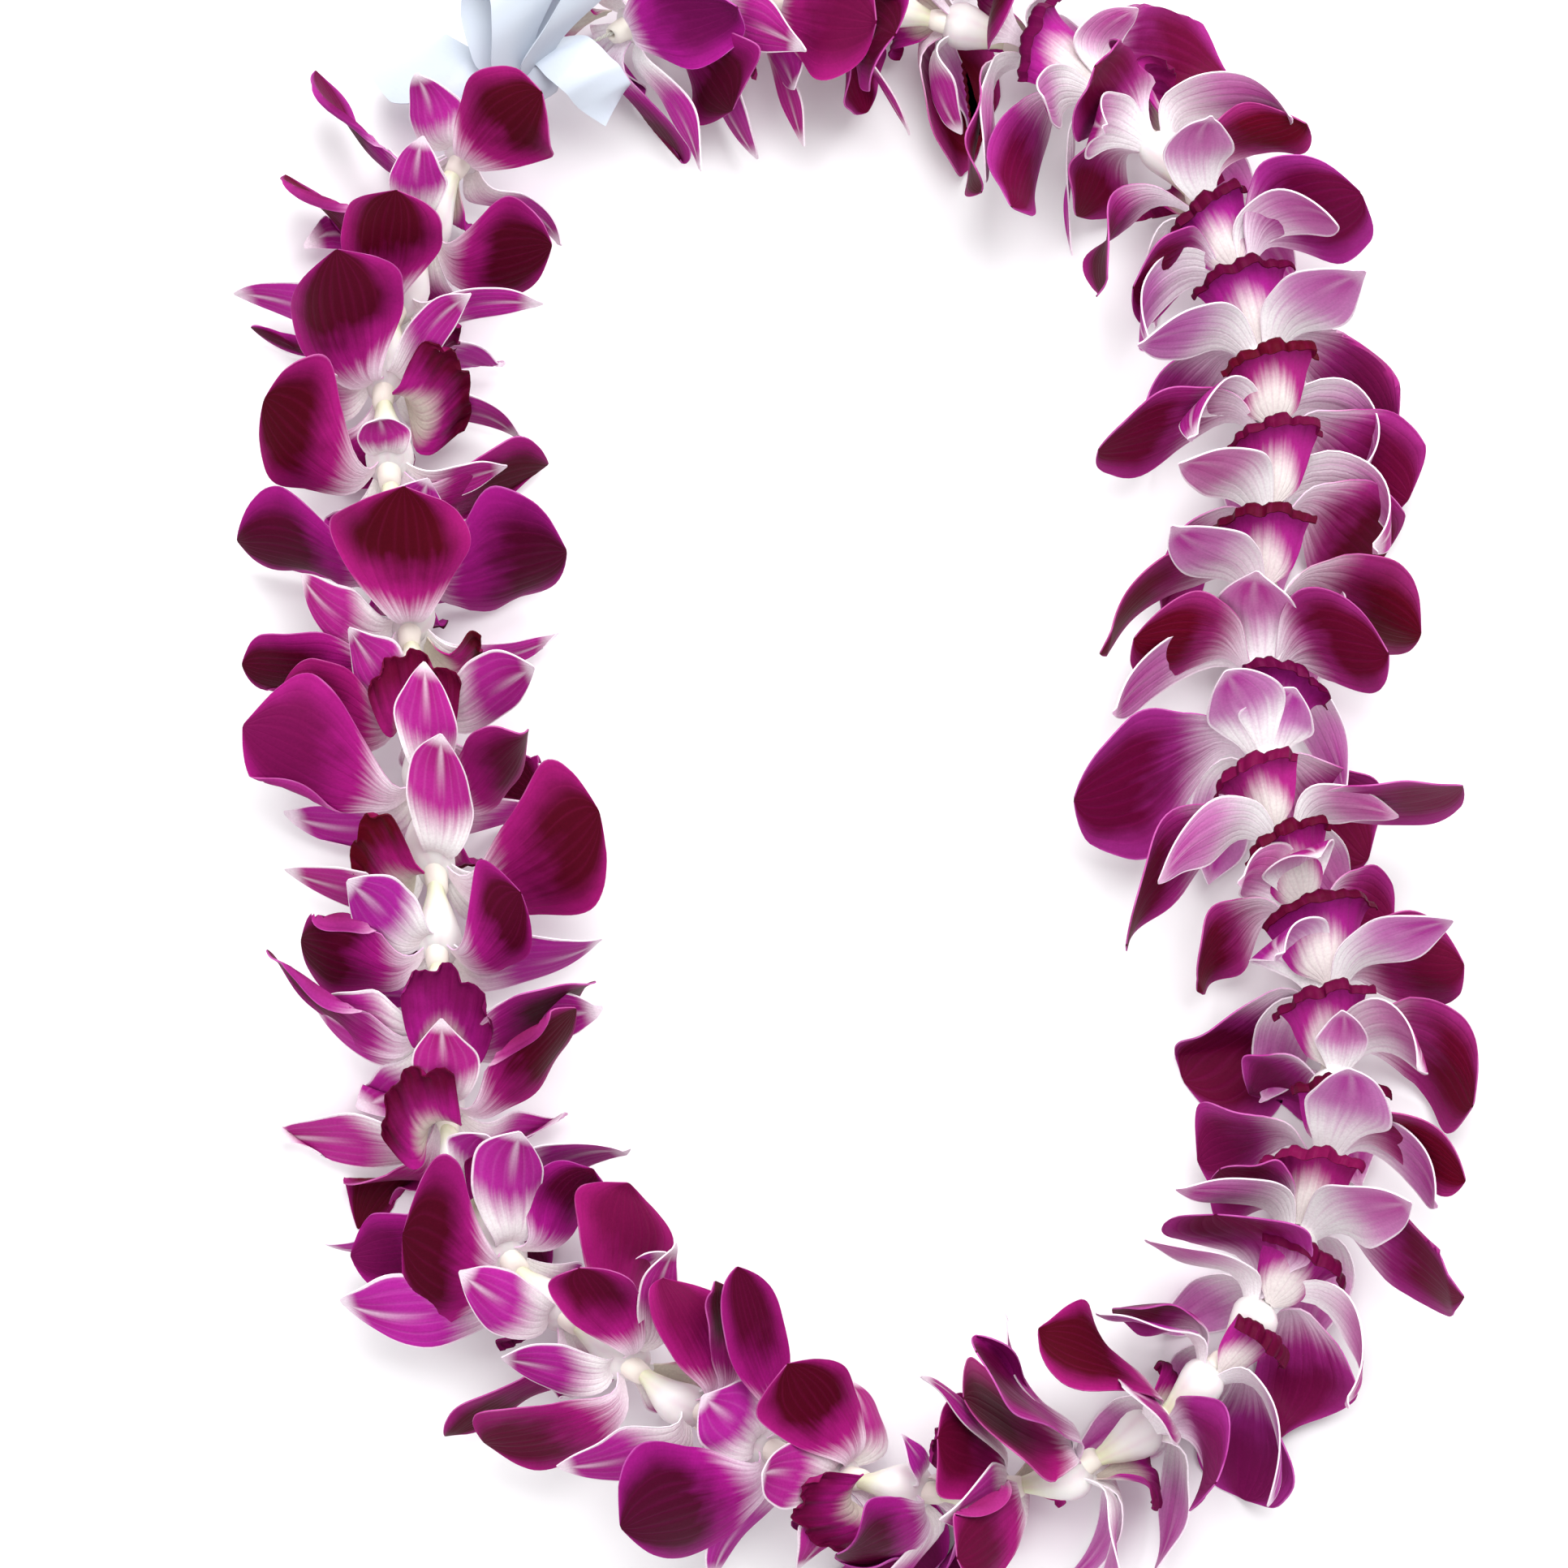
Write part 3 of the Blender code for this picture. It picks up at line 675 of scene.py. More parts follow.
# how blades of each kind vary, lowest and highest: degrees for turns, millimetres for lifts;
# the second curl is for blooms that stand
bladeVariety = {
    "sepal": {"root": -1.3, "forward": 0.0, "width": (0.84, 1.08), "short": (0.88, 1.06),
              "bend": (-4, 18), "sideBend": (12, 42), "curl": (-30, 40), "standingCurl": (-95, -15),
              "curlStart": (0.25, 0.55), "cup": (-1.8, 1.0), "wave": (0.2, 1.3), "twist": (0, 32),
              "sway": (-14, 14), "keel": (0.2, 0.9), "rise": (-5, 10), "reach": 0.2, "splay": 10,
              "droop": (-4, 14), "point": (-0.02, 0.06)},
    "petal": {"root": 0.5, "forward": 2.4, "width": (0.86, 1.06), "short": (0.88, 1.04),
              "bend": (-4, 18), "sideBend": (10, 40), "curl": (-45, 30), "standingCurl": (-85, 5),
              "curlStart": (0.3, 0.7), "cup": (-3.0, 3.2), "wave": (0.8, 2.8), "twist": (0, 34),
              "sway": (-12, 12), "keel": (-0.4, 0.9), "rise": (-5, 10), "reach": 0.2, "splay": 6,
              "droop": (-4, 12), "point": (-0.04, 0.1)},
}
# stretches of the lei that differ: first and last bloom, kind of blade and what it gets instead
broad = {"sideBend": (-5, 20), "width": (0.95, 1.15), "short": (0.96, 1.1)}
stretches = [
    (1, 6, "petal", {"twist": (0, 20), "width": (0.84, 1.0), "cup": (-3.5, 0.5)}),
    (1, 6, "sepal", {"width": (0.78, 0.98)}),
    (7, 14, "petal", {"width": (0.6, 0.86), "twist": (20, 65), "sideBend": (28, 55), "curl": (-70, -15),
                      "short": (0.96, 1.1), "splay": 12}),
    (7, 15, "sepal", {"sideBend": (26, 55), "curl": (-65, 5), "bend": (2, 20), "width": (0.9, 1.06),
                      "short": (0.94, 1.14), "splay": 15}),
    (20, 26, "petal", {**broad, "twist": (5, 50)}),
    (20, 26, "sepal", {**broad, "twist": (5, 45)}),
    (25, 39, "sepal", {"rise": (15, 42), "standingCurl": (-95, -40), "curlStart": (0.1, 0.35), "splay": 17,
                       "droop": (4, 22), "short": (0.98, 1.14), "sideBend": (0, 15), "twist": (0, 22)}),
    (25, 39, "petal", {"short": (0.92, 1.08), "width": (0.84, 1.1), "twist": (0, 50)}),
    (41, 47, "petal", {**broad, "twist": (5, 50)}),
    (41, 47, "sepal", {**broad, "twist": (5, 45)}),
]


# world points for a bloom that is turned a little on the thread: to one side, and up or down
def putBloom(stance, across, up, ahead):
    return put(stance["along"], across, up, ahead + stance["yaw"] * across + stance["pitch"] * up)


# what all blades share: how much their edges swell and are nicked, how a side folds over, and the waves
bladeDetail = {"swell": 0.09, "nick": 0.03, "foldBack": 1.8, "foldLift": 2.2, "foldSharpness": 9,
               "waves": 8.5, "lineSteps": 81, "radiusSteps": 120}


# a blade's points from their share of its length and their offset from its middle line
def bladeForm(part, offset, stance, turn, kind, size, shape):
    detail = bladeDetail
    blank = blankShapes[kind]
    along = stance["along"]
    sideways = abs(math.cos(math.radians(turn + shape["aside"])))
    toSides = -math.sin(math.radians(2 * turn))
    length = blank["length"] * size * shape["short"] * (1 + shape["reach"] * sideways)
    offset = offset * size * shape["width"]
    aside = offset / (max(width for _, width in blank["outline"]) * size * shape["width"] / 2)
    side = np.sign(aside)
    phase = shape["phase"]
    uneven = detail["swell"] * np.sin(4 * part + 2 * side + phase)
    uneven = uneven + detail["nick"] * np.sin(14 * part - 3 * side + 2 * phase)
    offset = offset * (1 + uneven * np.clip(4 * part - 0.8, 0, 1))

    # the middle line bends and curls at its tip
    table = np.linspace(0, 1, detail["lineSteps"])
    late = np.clip((table - shape["curlStart"]) / (1 - shape["curlStart"]), 0, 1)
    bend = shape["bend"] + (shape["sideBend"] - shape["bend"]) * sideways
    slope = np.radians(shape["rise"] * (1 - table) ** 2 + bend * table + shape["curl"] * late ** 1.3)
    reach = np.concatenate([[0], np.cumsum(np.cos(slope[1:]))]) / (len(table) - 1) * length
    rise = np.concatenate([[0], np.cumsum(np.sin(slope[1:]))]) / (len(table) - 1) * length
    part = part + shape["point"] * np.clip(part, 0, 1) ** 9
    walked = np.interp(part, table, reach) + np.clip(part - 1, 0, 1) * length
    lift = np.interp(part, table, rise)

    # the section is cupped, keeled and waved, with one side folded over on some, and it twists
    fold = abs(shape["fold"])
    past = np.clip(aside * np.sign(shape["fold"]) - (1 - fold), 0, None) if fold else 0 * aside
    halfWidth = np.abs(offset / np.where(aside == 0, 1, aside))
    offset = offset - detail["foldBack"] * past * np.sign(shape["fold"]) * halfWidth
    lift = lift + detail["foldLift"] * (1 - np.exp(-detail["foldSharpness"] * past))
    grown = np.sqrt(np.clip(part, 0, 1))
    lift = lift + shape["cup"] * aside ** 2 * grown
    lift = lift - shape["keel"] * (1 - np.abs(aside)) ** 2 * np.sin(math.pi * part)
    waves = np.sin(detail["waves"] * part + 1.9 * side + phase)
    lift = lift + shape["wave"] * np.abs(aside) ** 1.5 * grown * waves
    roll = np.radians(shape["twist"]) * part ** 1.5
    lift = lift + offset * np.sin(roll)
    offset = offset * np.cos(roll)

    start = math.radians(turn + shape["aside"] + shape["splay"] * toSides)
    sway = math.radians(shape["sway"] + shape["droop"] * toSides)
    lastRadius = bloomShape["rootRadius"] + length
    radii = np.linspace(bloomShape["rootRadius"], lastRadius, detail["radiusSteps"])

    def spread(offsets, radius):
        grown = (radius - bloomShape["rootRadius"]) / length
        angle = start + sway * grown ** 2
        across = radius * np.cos(angle) - offsets * np.sin(angle)
        up = radius * np.sin(angle) + offsets * np.cos(angle)
        ahead = shape["root"] + shape["forward"] * np.clip(3 * grown, 0, 1)
        back = leanBack(np.hypot(across, up), np.arctan2(up, across), along)
        return putBloom(stance, across, up, ahead - back)

    spine = spread(np.zeros_like(radii), radii)
    lengths = np.concatenate([[0], np.cumsum(np.linalg.norm(np.diff(spine, axis=0), axis=1))])

    def place(offsets, distances):
        return spread(offsets, np.interp(distances, lengths, radii))

    step = 0.4
    inside = np.clip(walked, step, lengths[-1] - step)
    outward = np.cross(place(offset + step, inside) - place(offset - step, inside),
                       place(offset, inside + step) - place(offset, inside - step))
    outward /= np.maximum(np.linalg.norm(outward, axis=1, keepdims=True), 1e-9)
    laid = place(offset, walked) + outward * lift[:, None]
    laid[:, 2] = np.maximum(laid[:, 2], leiRoute["floorLeast"])
    return laid


# how far a blade may be turned and lengthened, lowest, highest and most at one try, and its first turns
aiming = {"low": (-80, 0.5), "high": (80, 1.3), "most": (15, 0.15), "starts": (40, -40), "tries": 12,
          "tipShare": 0.97, "uprightLength": 1.0, "sidewaysMore": 0.3}


# turn and lengthen a blade until its tip is seen at the photo's own pixel
def aimBlade(stance, turn, kind, size, shape):
    middle, tipShare = np.array([0.0]), np.array([aiming["tipShare"]])

    def tipAt(aside, short):
        tried = dict(shape, aside=aside, short=short)
        return pixelOf(bladeForm(tipShare, middle, stance, turn, kind, size, tried)[0])

    low, high, most = (np.array(aiming[label]) for label in ("low", "high", "most"))
    nearest = math.inf
    for start in (shape["aside"], *aiming["starts"]):
        values = np.array([start, min(shape["short"], aiming["uprightLength"])])
        for _ in range(aiming["tries"]):
            seen = tipAt(*values)
            miss = np.array(shape["tip"]) - seen
            left = np.hypot(*miss) + 0.1 * abs(values[0])
            if left < nearest:
                nearest, best = left, values
            if np.hypot(*miss) < 1:
                break
            slopes = np.column_stack([(tipAt(values[0] + 2, values[1]) - seen) / 2,
                                      (tipAt(values[0], values[1] + 0.03) - seen) / 0.03])
            step = np.linalg.lstsq(slopes, miss, rcond=None)[0]
            values = np.clip(values + np.clip(step, -most, most), low, high)
            sideways = abs(math.cos(math.radians(turn + values[0])))
            values[1] = min(values[1], aiming["uprightLength"] + aiming["sidewaysMore"] * sideways)
    shape.update(aside=best[0], short=best[1])


def layBlade(blade, stance, turn, kind, size, shape):
    points = readPoints(blade)
    part = points[:, 1] / blankShapes[kind]["length"]
    writePoints(blade, bladeForm(part, points[:, 0], stance, turn, kind, size, shape))


# the lip's rim: its lobes, the notch at its middle, and pleats from coarse to fine
lipDetail = {"lobe": 0.35, "lobes": 9, "notch": 1.2, "notchWidth": 0.16, "sideLift": 3.5, "ruffleStart": 0.45,
             "pleats": 10, "finePleats": 21, "frill": 0.25, "frills": 34}


def layLip(blade, stance, turn, size, ruffle, phase):
    detail = lipDetail
    points = readPoints(blade)
    part, side = points[:, 1], points[:, 0]
    standing = np.array(bloomShape["lipUpright"])
    laid = np.array(bloomShape["lipLaid"])
    share = float(np.clip((leansAt(stance["along"])[0] + 0.1) / 0.6, 0, 1))

    def place(parts, sides):
        forward, reach, spread = (smoothRead(parts, standing[:, 0], standing[:, k]) * (1 - share)
                                  + smoothRead(parts, laid[:, 0], laid[:, k]) * share for k in (1, 2, 3))
        angle = np.radians(turn + sides * spread)
        rim = np.clip(parts - 0.5, 0, 1) / 0.5
        lobes = np.sin(detail["lobes"] * sides + phase)
        reach = reach * size + detail["lobe"] * ruffle * rim ** 2 * lobes
        notch = detail["notch"] * rim ** 3 * np.exp(-(sides / detail["notchWidth"]) ** 2)
        forward = forward * (1 - 0.1 * np.abs(sides)) - notch
        forward = forward - share * leanBack(reach, angle, stance["along"])
        forward = forward + share * detail["sideLift"] * np.abs(sides) ** 2 * np.clip(2 * parts, 0, 1)
        return putBloom(stance, reach * np.cos(angle), reach * np.sin(angle), forward)

    step = 0.02
    inside = np.clip(part, step, 1 - step)
    outward = np.cross(place(part, side + step) - place(part, side - step),
                       place(inside + step, side) - place(inside - step, side))
    outward /= np.maximum(np.linalg.norm(outward, axis=1, keepdims=True), 1e-9)
    late = np.clip(part - detail["ruffleStart"], 0, 1) / (1 - detail["ruffleStart"])
    pleats = 0.65 * np.sin(detail["pleats"] * side + phase + 2 * part)
    pleats = pleats + 0.35 * np.sin(detail["finePleats"] * side + 2 * phase - 3 * part)
    frills = detail["frill"] * np.sin(detail["frills"] * side + 9 * part + phase)
    lift = ruffle * late ** 1.4 * pleats + frills * late
    writePoints(blade, place(part, side) + outward * lift[:, None])


def layTurned(piece, stance, turn, size):
    points = readPoints(piece)
    angle = math.radians(turn)
    across = (points[:, 0] * math.cos(angle) - points[:, 1] * math.sin(angle)) * size
    up = (points[:, 0] * math.sin(angle) + points[:, 1] * math.cos(angle)) * size
    writePoints(piece, putBloom(stance, across, up, points[:, 2]))


# single blades that stand out in the photo: bloom, blade and what it gets instead;
# a tip is a pixel read off the photo, and tone and tint lean the colour to dark and to crimson
plain = {"fold": 0, "twist": 4, "curl": -8, "curlStart": 0.5}
lying = {"rise": 5, "curl": -18, "droop": 0}
upright = {"fold": 0, "twist": 4, "rise": 8, "curl": -10, "curlStart": 0.5}
bladeTouches = {
    (1, 0): dict(tip=(392, 96), width=0.5, twist=55, tone=1),
    (1, 1): dict(tip=(514, 94), width=0.95),
    (1, 2): dict(plain, tip=(668, 112), width=0.95, tone=1, tint=0.9),
    (2, 0): dict(tip=(356, 222), width=0.62, twist=60, tone=0.9),
    (2, 1): dict(plain, tip=(520, 172), width=0.92),
    (2, 2): dict(plain, tip=(674, 304), width=0.8, tone=1),
    (2, 5): dict(tip=(380, 300), width=0.7),
    (3, 0): dict(tip=(306, 406), width=0.3, twist=70, tone=1),
    (3, 1): dict(tip=(294, 362), width=0.8),
    (3, 2): dict(plain, tip=(487, 241), width=0.92, tone=1, tint=0.8),
    (3, 3): dict(tip=(662, 374), width=0.6),
    (4, 1): dict(tip=(346, 480), width=0.8),
    (4, 2): dict(plain, tip=(415, 319), width=1.08, tone=1, point=0.14),
    (4, 3): dict(tip=(592, 348), width=0.62),
    (4, 4): dict(size=1.25, aside=-14),
    (5, 0): dict(plain, tip=(328, 496), width=0.86, tone=0.9),
    (5, 1): dict(tip=(470, 540), width=0.8),
    (5, 2): dict(plain, tip=(676, 620), width=0.85, tone=0.7),
    (5, 3): dict(tip=(620, 576), width=0.6),
    (6, 0): dict(plain, tip=(300, 668), width=0.72, tone=1),
    (6, 1): dict(tip=(527, 592), width=0.9),
    (6, 2): dict(plain, tip=(692, 682), width=1.0, tone=0.7),
    (7, 0): dict(tip=(303, 820), width=0.62, tone=1),
    (7, 1): dict(tip=(374, 712), width=0.85),
    (7, 2): dict(plain, tip=(497, 605), width=1.12, tone=0.9, point=0.12),
    (7, 3): dict(tip=(683, 786), width=0.6),
    (8, 0): dict(tip=(668, 985), width=0.75),
    (8, 2): dict(tip=(344, 864), width=0.8, tone=0.8),
    (8, 3): dict(tip=(432, 777), width=0.95),
    (8, 5): dict(tip=(655, 824), width=1.05),
    (9, 1): dict(tip=(523, 820), width=0.92),
    (9, 2): dict(tip=(648, 906), width=0.8),
    (10, 0): dict(tip=(735, 1004), width=0.85, twist=20),
    (10, 3): dict(tip=(357, 1074), width=0.75),
    (10, 4): dict(size=1.15, aside=-22),
    (10, 5): dict(plain, tip=(538, 890), width=1.0),
    (11, 0): dict(tip=(374, 1160), width=0.75, tone=1),
    (11, 1): dict(plain, tip=(431, 1088), width=1.12),
    (11, 2): dict(tip=(640, 1104), width=0.62, tone=1),
    (11, 3): dict(tip=(736, 1160), width=0.95),
    (12, 0): dict(tip=(726, 1212), width=0.7, tone=1),
    (12, 2): dict(tip=(336, 1178), width=0.55, twist=55),
    (12, 3): dict(tip=(390, 1240), width=1.1),
    (12, 5): dict(tip=(736, 1246), width=0.85),
    (13, 0): dict(tip=(704, 1250), width=0.66),
    (13, 2): dict(tip=(443, 1503), width=0.55, tone=1),
    (13, 3): dict(tip=(346, 1402), width=0.9),
    (13, 5): dict(plain, tip=(544, 1260), width=1.05),
    (14, 1): dict(tip=(393, 1556), width=0.75),
    (14, 2): dict(tip=(438, 1548), width=0.6),
    (14, 3): dict(plain, tip=(600, 1400), width=1.05),
    (15, 0): dict(plain, tip=(500, 1524), width=1.15, tone=0.9, tint=0.7),
    (15, 1): dict(plain, tip=(640, 1398), width=1.1),
    (15, 2): dict(tip=(728, 1445), width=0.6, twist=40, tone=0.7),
    (15, 5): dict(tip=(426, 1606), width=0.9, tone=1),
    (16, 0): dict(tip=(557, 1766), width=0.45),
    (16, 2): dict(tip=(774, 1466), width=0.95, tone=0.1, tint=1, curl=-40, twist=20),
    (16, 3): dict(tip=(818, 1545), width=0.9, tone=1),
    (17, 0): dict(tip=(602, 1778), width=0.72, twist=20),
    (17, 2): dict(tip=(715, 1565), width=0.6),
    (17, 3): dict(tip=(832, 1538), width=0.6),
    (18, 0): dict(tip=(820, 1580), width=0.7, tone=0.1, curl=-60, twist=25),
    (18, 1): dict(tip=(908, 1640), width=0.7),
    (18, 2): dict(tip=(885, 1585), width=0.5, tone=1),
    (18, 3): dict(tip=(852, 1832), width=0.75),
    (19, 0): dict(plain, tip=(774, 1880), width=1.1, tone=1),
    (19, 1): dict(plain, tip=(868, 1722), width=1.25),
    (19, 2): dict(tip=(908, 1560), width=0.5, tone=0.6),
    (20, 0): dict(plain, tip=(975, 1686), width=0.85, tone=1, tint=0.8),
    (20, 1): dict(plain, tip=(1045, 1702), width=1.3, tone=0.7, tint=1, curl=-30),
    (20, 3): dict(tip=(985, 1930), width=1.0),
    (21, 2): dict(tip=(1035, 1915), tone=1),
    (21, 3): dict(tip=(1112, 1770), width=0.5),
    (21, 5): dict(tip=(1165, 1788), width=0.7),
    (22, 0): dict(lying, tip=(1112, 1912), width=0.8),
    (22, 1): dict(lying, tip=(1100, 1882), width=1.0),
    (22, 2): dict(plain, tip=(1158, 1772), width=1.0, tone=0.5, rise=-28, curl=-30),
    (22, 3): dict(tip=(1131, 1690), width=0.35),
    (23, 0): dict(plain, tip=(1192, 1726), width=1.2, tone=0.5, tint=1, rise=-38, curl=-35),
    (23, 1): dict(tip=(1241, 1625), width=0.5, twist=10),
    (23, 2): dict(tip=(1195, 1682), width=0.85),
    (24, 0): dict(tip=(1535, 1795), width=0.95, tone=0.2),
    (24, 1): dict(plain, tip=(1375, 1712), width=1.2),
    (24, 2): dict(tip=(1308, 1612), width=0.8, tone=1, tint=0.9, twist=60),
    (24, 3): dict(tip=(1312, 1796), width=1.1),
    (25, 0): dict(tip=(1376, 1588), width=1.1, tone=1),
    (25, 4): dict(size=0.8, aside=-30),
    (25, 5): dict(lying, tip=(1375, 1554), width=0.7),
    (26, 0): dict(plain, tip=(1500, 1498), width=1.25, tone=0.6, rise=36, curl=12),
    (26, 3): dict(tip=(1660, 1730), width=0.7),
    (26, 5): dict(lying, tip=(1412, 1462), width=1.0),
    (27, 0): dict(tip=(1506, 1442), width=0.9),
    (27, 2): dict(tip=(1794, 1596), width=0.85, tone=0.8),
    (27, 3): dict(lying, tip=(1742, 1466), width=1.2),
    (27, 5): dict(lying, tip=(1456, 1466), width=0.8),
    (28, 0): dict(tip=(1478, 1426), width=0.9),
    (28, 2): dict(plain, tip=(1800, 1448), width=0.66, tone=1, tint=1),
    (28, 3): dict(tip=(1768, 1482), width=1.05),
    (28, 5): dict(upright, tip=(1658, 1294), width=1.3),
    (29, 0): dict(tip=(1544, 1345), width=0.95, tone=0.3),
    (29, 2): dict(tip=(1814, 1358), width=0.8, tone=0.7, tint=0.8, rise=45, curl=-70),
    (29, 5): dict(upright, tip=(1664, 1247), width=0.85),
    (30, 0): dict(plain, tip=(1464, 1322), width=1.1, tone=1),
    (30, 2): dict(plain, tip=(1798, 1188), width=0.85, tone=0.5, tint=0.9),
    (30, 3): dict(lying, tip=(1786, 1134), width=0.8),
    (30, 4): dict(size=1.2, aside=10),
    (30, 5): dict(tip=(1561, 1158), width=1.1),
    (31, 0): dict(tip=(1478, 1216), width=0.8, tone=1, tint=0.8),
    (31, 2): dict(tip=(1712, 1142), width=0.7),
    (31, 3): dict(tip=(1624, 1054), width=1.2),
    (31, 5): dict(tip=(1530, 1086), width=0.9),
    (32, 0): dict(tip=(1364, 1156), width=0.75, tone=0.9),
    (32, 3): dict(lying, tip=(1718, 1004), width=0.95),
    (32, 5): dict(lying, tip=(1414, 1084), width=0.9),
    (33, 0): dict(plain, tip=(1331, 984), width=0.95, tone=0.8),
    (33, 3): dict(upright, tip=(1594, 850), width=1.2),
    (33, 5): dict(lying, tip=(1511, 829), width=1.15),
    (34, 0): dict(plain, tip=(1704, 802), width=0.95, tone=1),
    (34, 1): dict(tip=(1548, 708), width=1.3, standingCurl=-10),
    (34, 2): dict(plain, tip=(1403, 786), width=0.78, tone=0.8, tint=1),
    (34, 3): dict(tip=(1376, 876), width=0.9),
    (35, 0): dict(tip=(1363, 798), width=0.62, tone=0.6),
    (35, 2): dict(plain, tip=(1747, 780), width=1.05, tone=0.8, tint=1),
    (35, 3): dict(tip=(1656, 784), width=0.8, rise=35, curl=-80),
    (35, 5): dict(lying, tip=(1404, 593), width=0.95),
    (36, 2): dict(plain, tip=(1700, 688), width=0.95, tone=1),
    (36, 3): dict(tip=(1710, 690), width=0.85, rise=60, curl=-120),
    (36, 5): dict(lying, tip=(1449, 562), width=0.95),
    (37, 0): dict(plain, tip=(1358, 552), width=0.85, tone=1),
    (37, 3): dict(tip=(1682, 576), width=0.85, rise=60, curl=-120),
    (37, 5): dict(lying, tip=(1423, 525), width=0.8, rise=35, curl=-70),
    (38, 3): dict(lying, tip=(1676, 337), width=0.95),
    (38, 5): dict(lying, tip=(1399, 425), width=1.0),
    (39, 0): dict(plain, tip=(1400, 352), width=0.85, tone=1),
    (39, 2): dict(plain, tip=(1672, 240), width=0.95, tone=0.9),
    (40, 0): dict(tip=(1602, 151), width=0.6, tone=0.8, tint=1),
    (40, 2): dict(tip=(1357, 358), width=0.58),
    (41, 1): dict(tip=(1348, 150), width=1.1),
    (41, 2): dict(plain, tip=(1328, 262), width=0.9, tone=1, tint=0.7),
    (42, 0): dict(tip=(1250, 250), width=0.7, tone=0.8),
    (42, 1): dict(tip=(1320, 309), width=0.28, twist=60),
    (42, 3): dict(tip=(1398, 12), width=1.0),
    (42, 5): dict(lying, tip=(1285, 120), width=0.9),
    (43, 2): dict(tip=(1200, 233), width=0.8, tone=1),
    (44, 1): dict(tip=(1150, 181), width=1.0),
    (44, 2): dict(plain, tip=(1215, 160), width=1.35, tone=1, tint=1),
    (45, 1): dict(tip=(1078, 176), width=0.45),
    (45, 2): dict(tip=(1062, 137), width=0.9, tone=1),
    (46, 3): dict(plain, tip=(989, 175), width=0.75),
    (46, 5): dict(tip=(982, 106), width=1.3, tone=0.8),
    (47, 2): dict(plain, tip=(900, 132), width=1.2, tone=1),
    (47, 3): dict(tip=(930, 191), width=1.3, tone=1),
    (48, 1): dict(plain, tip=(862, 205), width=0.75),
    (48, 2): dict(plain, tip=(795, 200), width=0.8, tone=1),
    (48, 3): dict(plain, tip=(745, 118), width=1.1),
    (48, 4): dict(size=1.2, aside=10, tone=1, tint=0.8),
}


# how whole blooms vary
bloomVariety = {"size": (0.94, 1.05), "tone": (0.25, 0.85), "tint": (0.2, 0.8), "yaw": (-0.16, 0.16),
                "pitch": (-0.12, 0.12), "ruffle": (0.8, 1.5), "aside": (-6, 6), "phase": (0, 6.3),
                "folds": [0, 0, 0, 0, 0.3, -0.3], "bladeTone": 0.35, "bladeTint": 0.3}


def stringBloom(number):
    draw = random.Random(number)
    extra = random.Random(1000 + number)
    size = draw.uniform(*bloomVariety["size"])
    along = leiRoute["bowRoom"] / 2 + pitch * (number - 0.5)
    roll = leiRoute["rolls"][number - 1]
    standing = float(np.clip(0.5 - leansAt(along)[0], 0, 1))
    bloomTone = extra.uniform(*bloomVariety["tone"])
    bloomTint = extra.uniform(*bloomVariety["tint"])
    stance = {"along": along}
    for label in ("yaw", "pitch"):
        stance[label] = extra.uniform(*bloomVariety[label])
    sheets = []
    for k, (turn, kind) in enumerate(bloomShape["blades"]):
        blade = copyOf(blanks[kind], f"blade{number}_{k}")
        if kind == "lip":
            shape = {"size": 1, "aside": 0, **bladeTouches.get((number, k), {})}
            ruffle = extra.uniform(*bloomVariety["ruffle"])
            phase = extra.uniform(*bloomVariety["phase"])
            layLip(blade, stance, turn + roll + shape["aside"], size * shape["size"], ruffle, phase)
        else:
            variety = dict(bladeVariety[kind])
            for first, last, name, instead in stretches:
                if name == kind and first <= number <= last:
                    variety.update(instead)
            shape = {key: extra.uniform(*value) if isinstance(value, tuple) else value
                     for key, value in variety.items()}
            touched = bladeTouches.get((number, k), {})
            shape["standingCurl"] = touched.get("standingCurl", shape["standingCurl"])
            shape["curl"] += (shape["standingCurl"] - shape["curl"]) * standing
            shape["twist"] *= extra.choice([-1, 1])
            shape["aside"] = draw.uniform(*bloomVariety["aside"]) + extra.uniform(*bloomVariety["aside"])
            shape["phase"] = extra.uniform(*bloomVariety["phase"])
            shape["fold"] = extra.choice(bloomVariety["folds"]) if kind == "petal" else 0
            shape.update(touched)
            if "tip" in touched:
                aimBlade(stance, turn + roll, kind, size, shape)
            layBlade(blade, stance, turn + roll, kind, size, shape)
        for label, middle, most in (("tone", bloomTone, bloomVariety["bladeTone"]),
                                    ("tint", bloomTint, bloomVariety["bladeTint"])):
            drawn = min(1, max(0, middle + extra.uniform(-most, most)))
            setAttribute(blade, label, shape.get(label, drawn))
        sheets.append(blade)
    bloom = joinInto(sheets[0], sheets[1:])
    bloom.name = f"orchid_{number:02d}"
    bloom.data.name = bloom.name
    wall = bloom.modifiers.new("Wall", "SOLIDIFY")
    wall.thickness = bloomShape["thickness"] * 0.001
    wall.offset = 0
    wall.material_offset = 1
    activate(bloom)
    bpy.ops.object.modifier_apply(modifier=wall.name)
    turned = []
    for kind in ("tube", "column"):
        piece = copyOf(blanks[kind], f"{kind}{number}")
        layTurned(piece, stance, roll, size)
        setAttribute(piece, "tone", bloomTone)
        setAttribute(piece, "tint", bloomTint)
        turned.append(piece)
    joinInto(bloom, turned)
    bpy.ops.object.shade_smooth_by_angle(angle=math.radians(50))
    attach(bloom, "root")
    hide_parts(f"bloom_{number:02d}")
    return bloom


for number in range(1, leiRoute["bloomCount"] + 1):
    stringBloom(number)
for blank in blanks.values():
    bpy.data.objects.remove(blank)
print("blooms strung")

# thread: two plies twisted round the route, with its knot past the bow

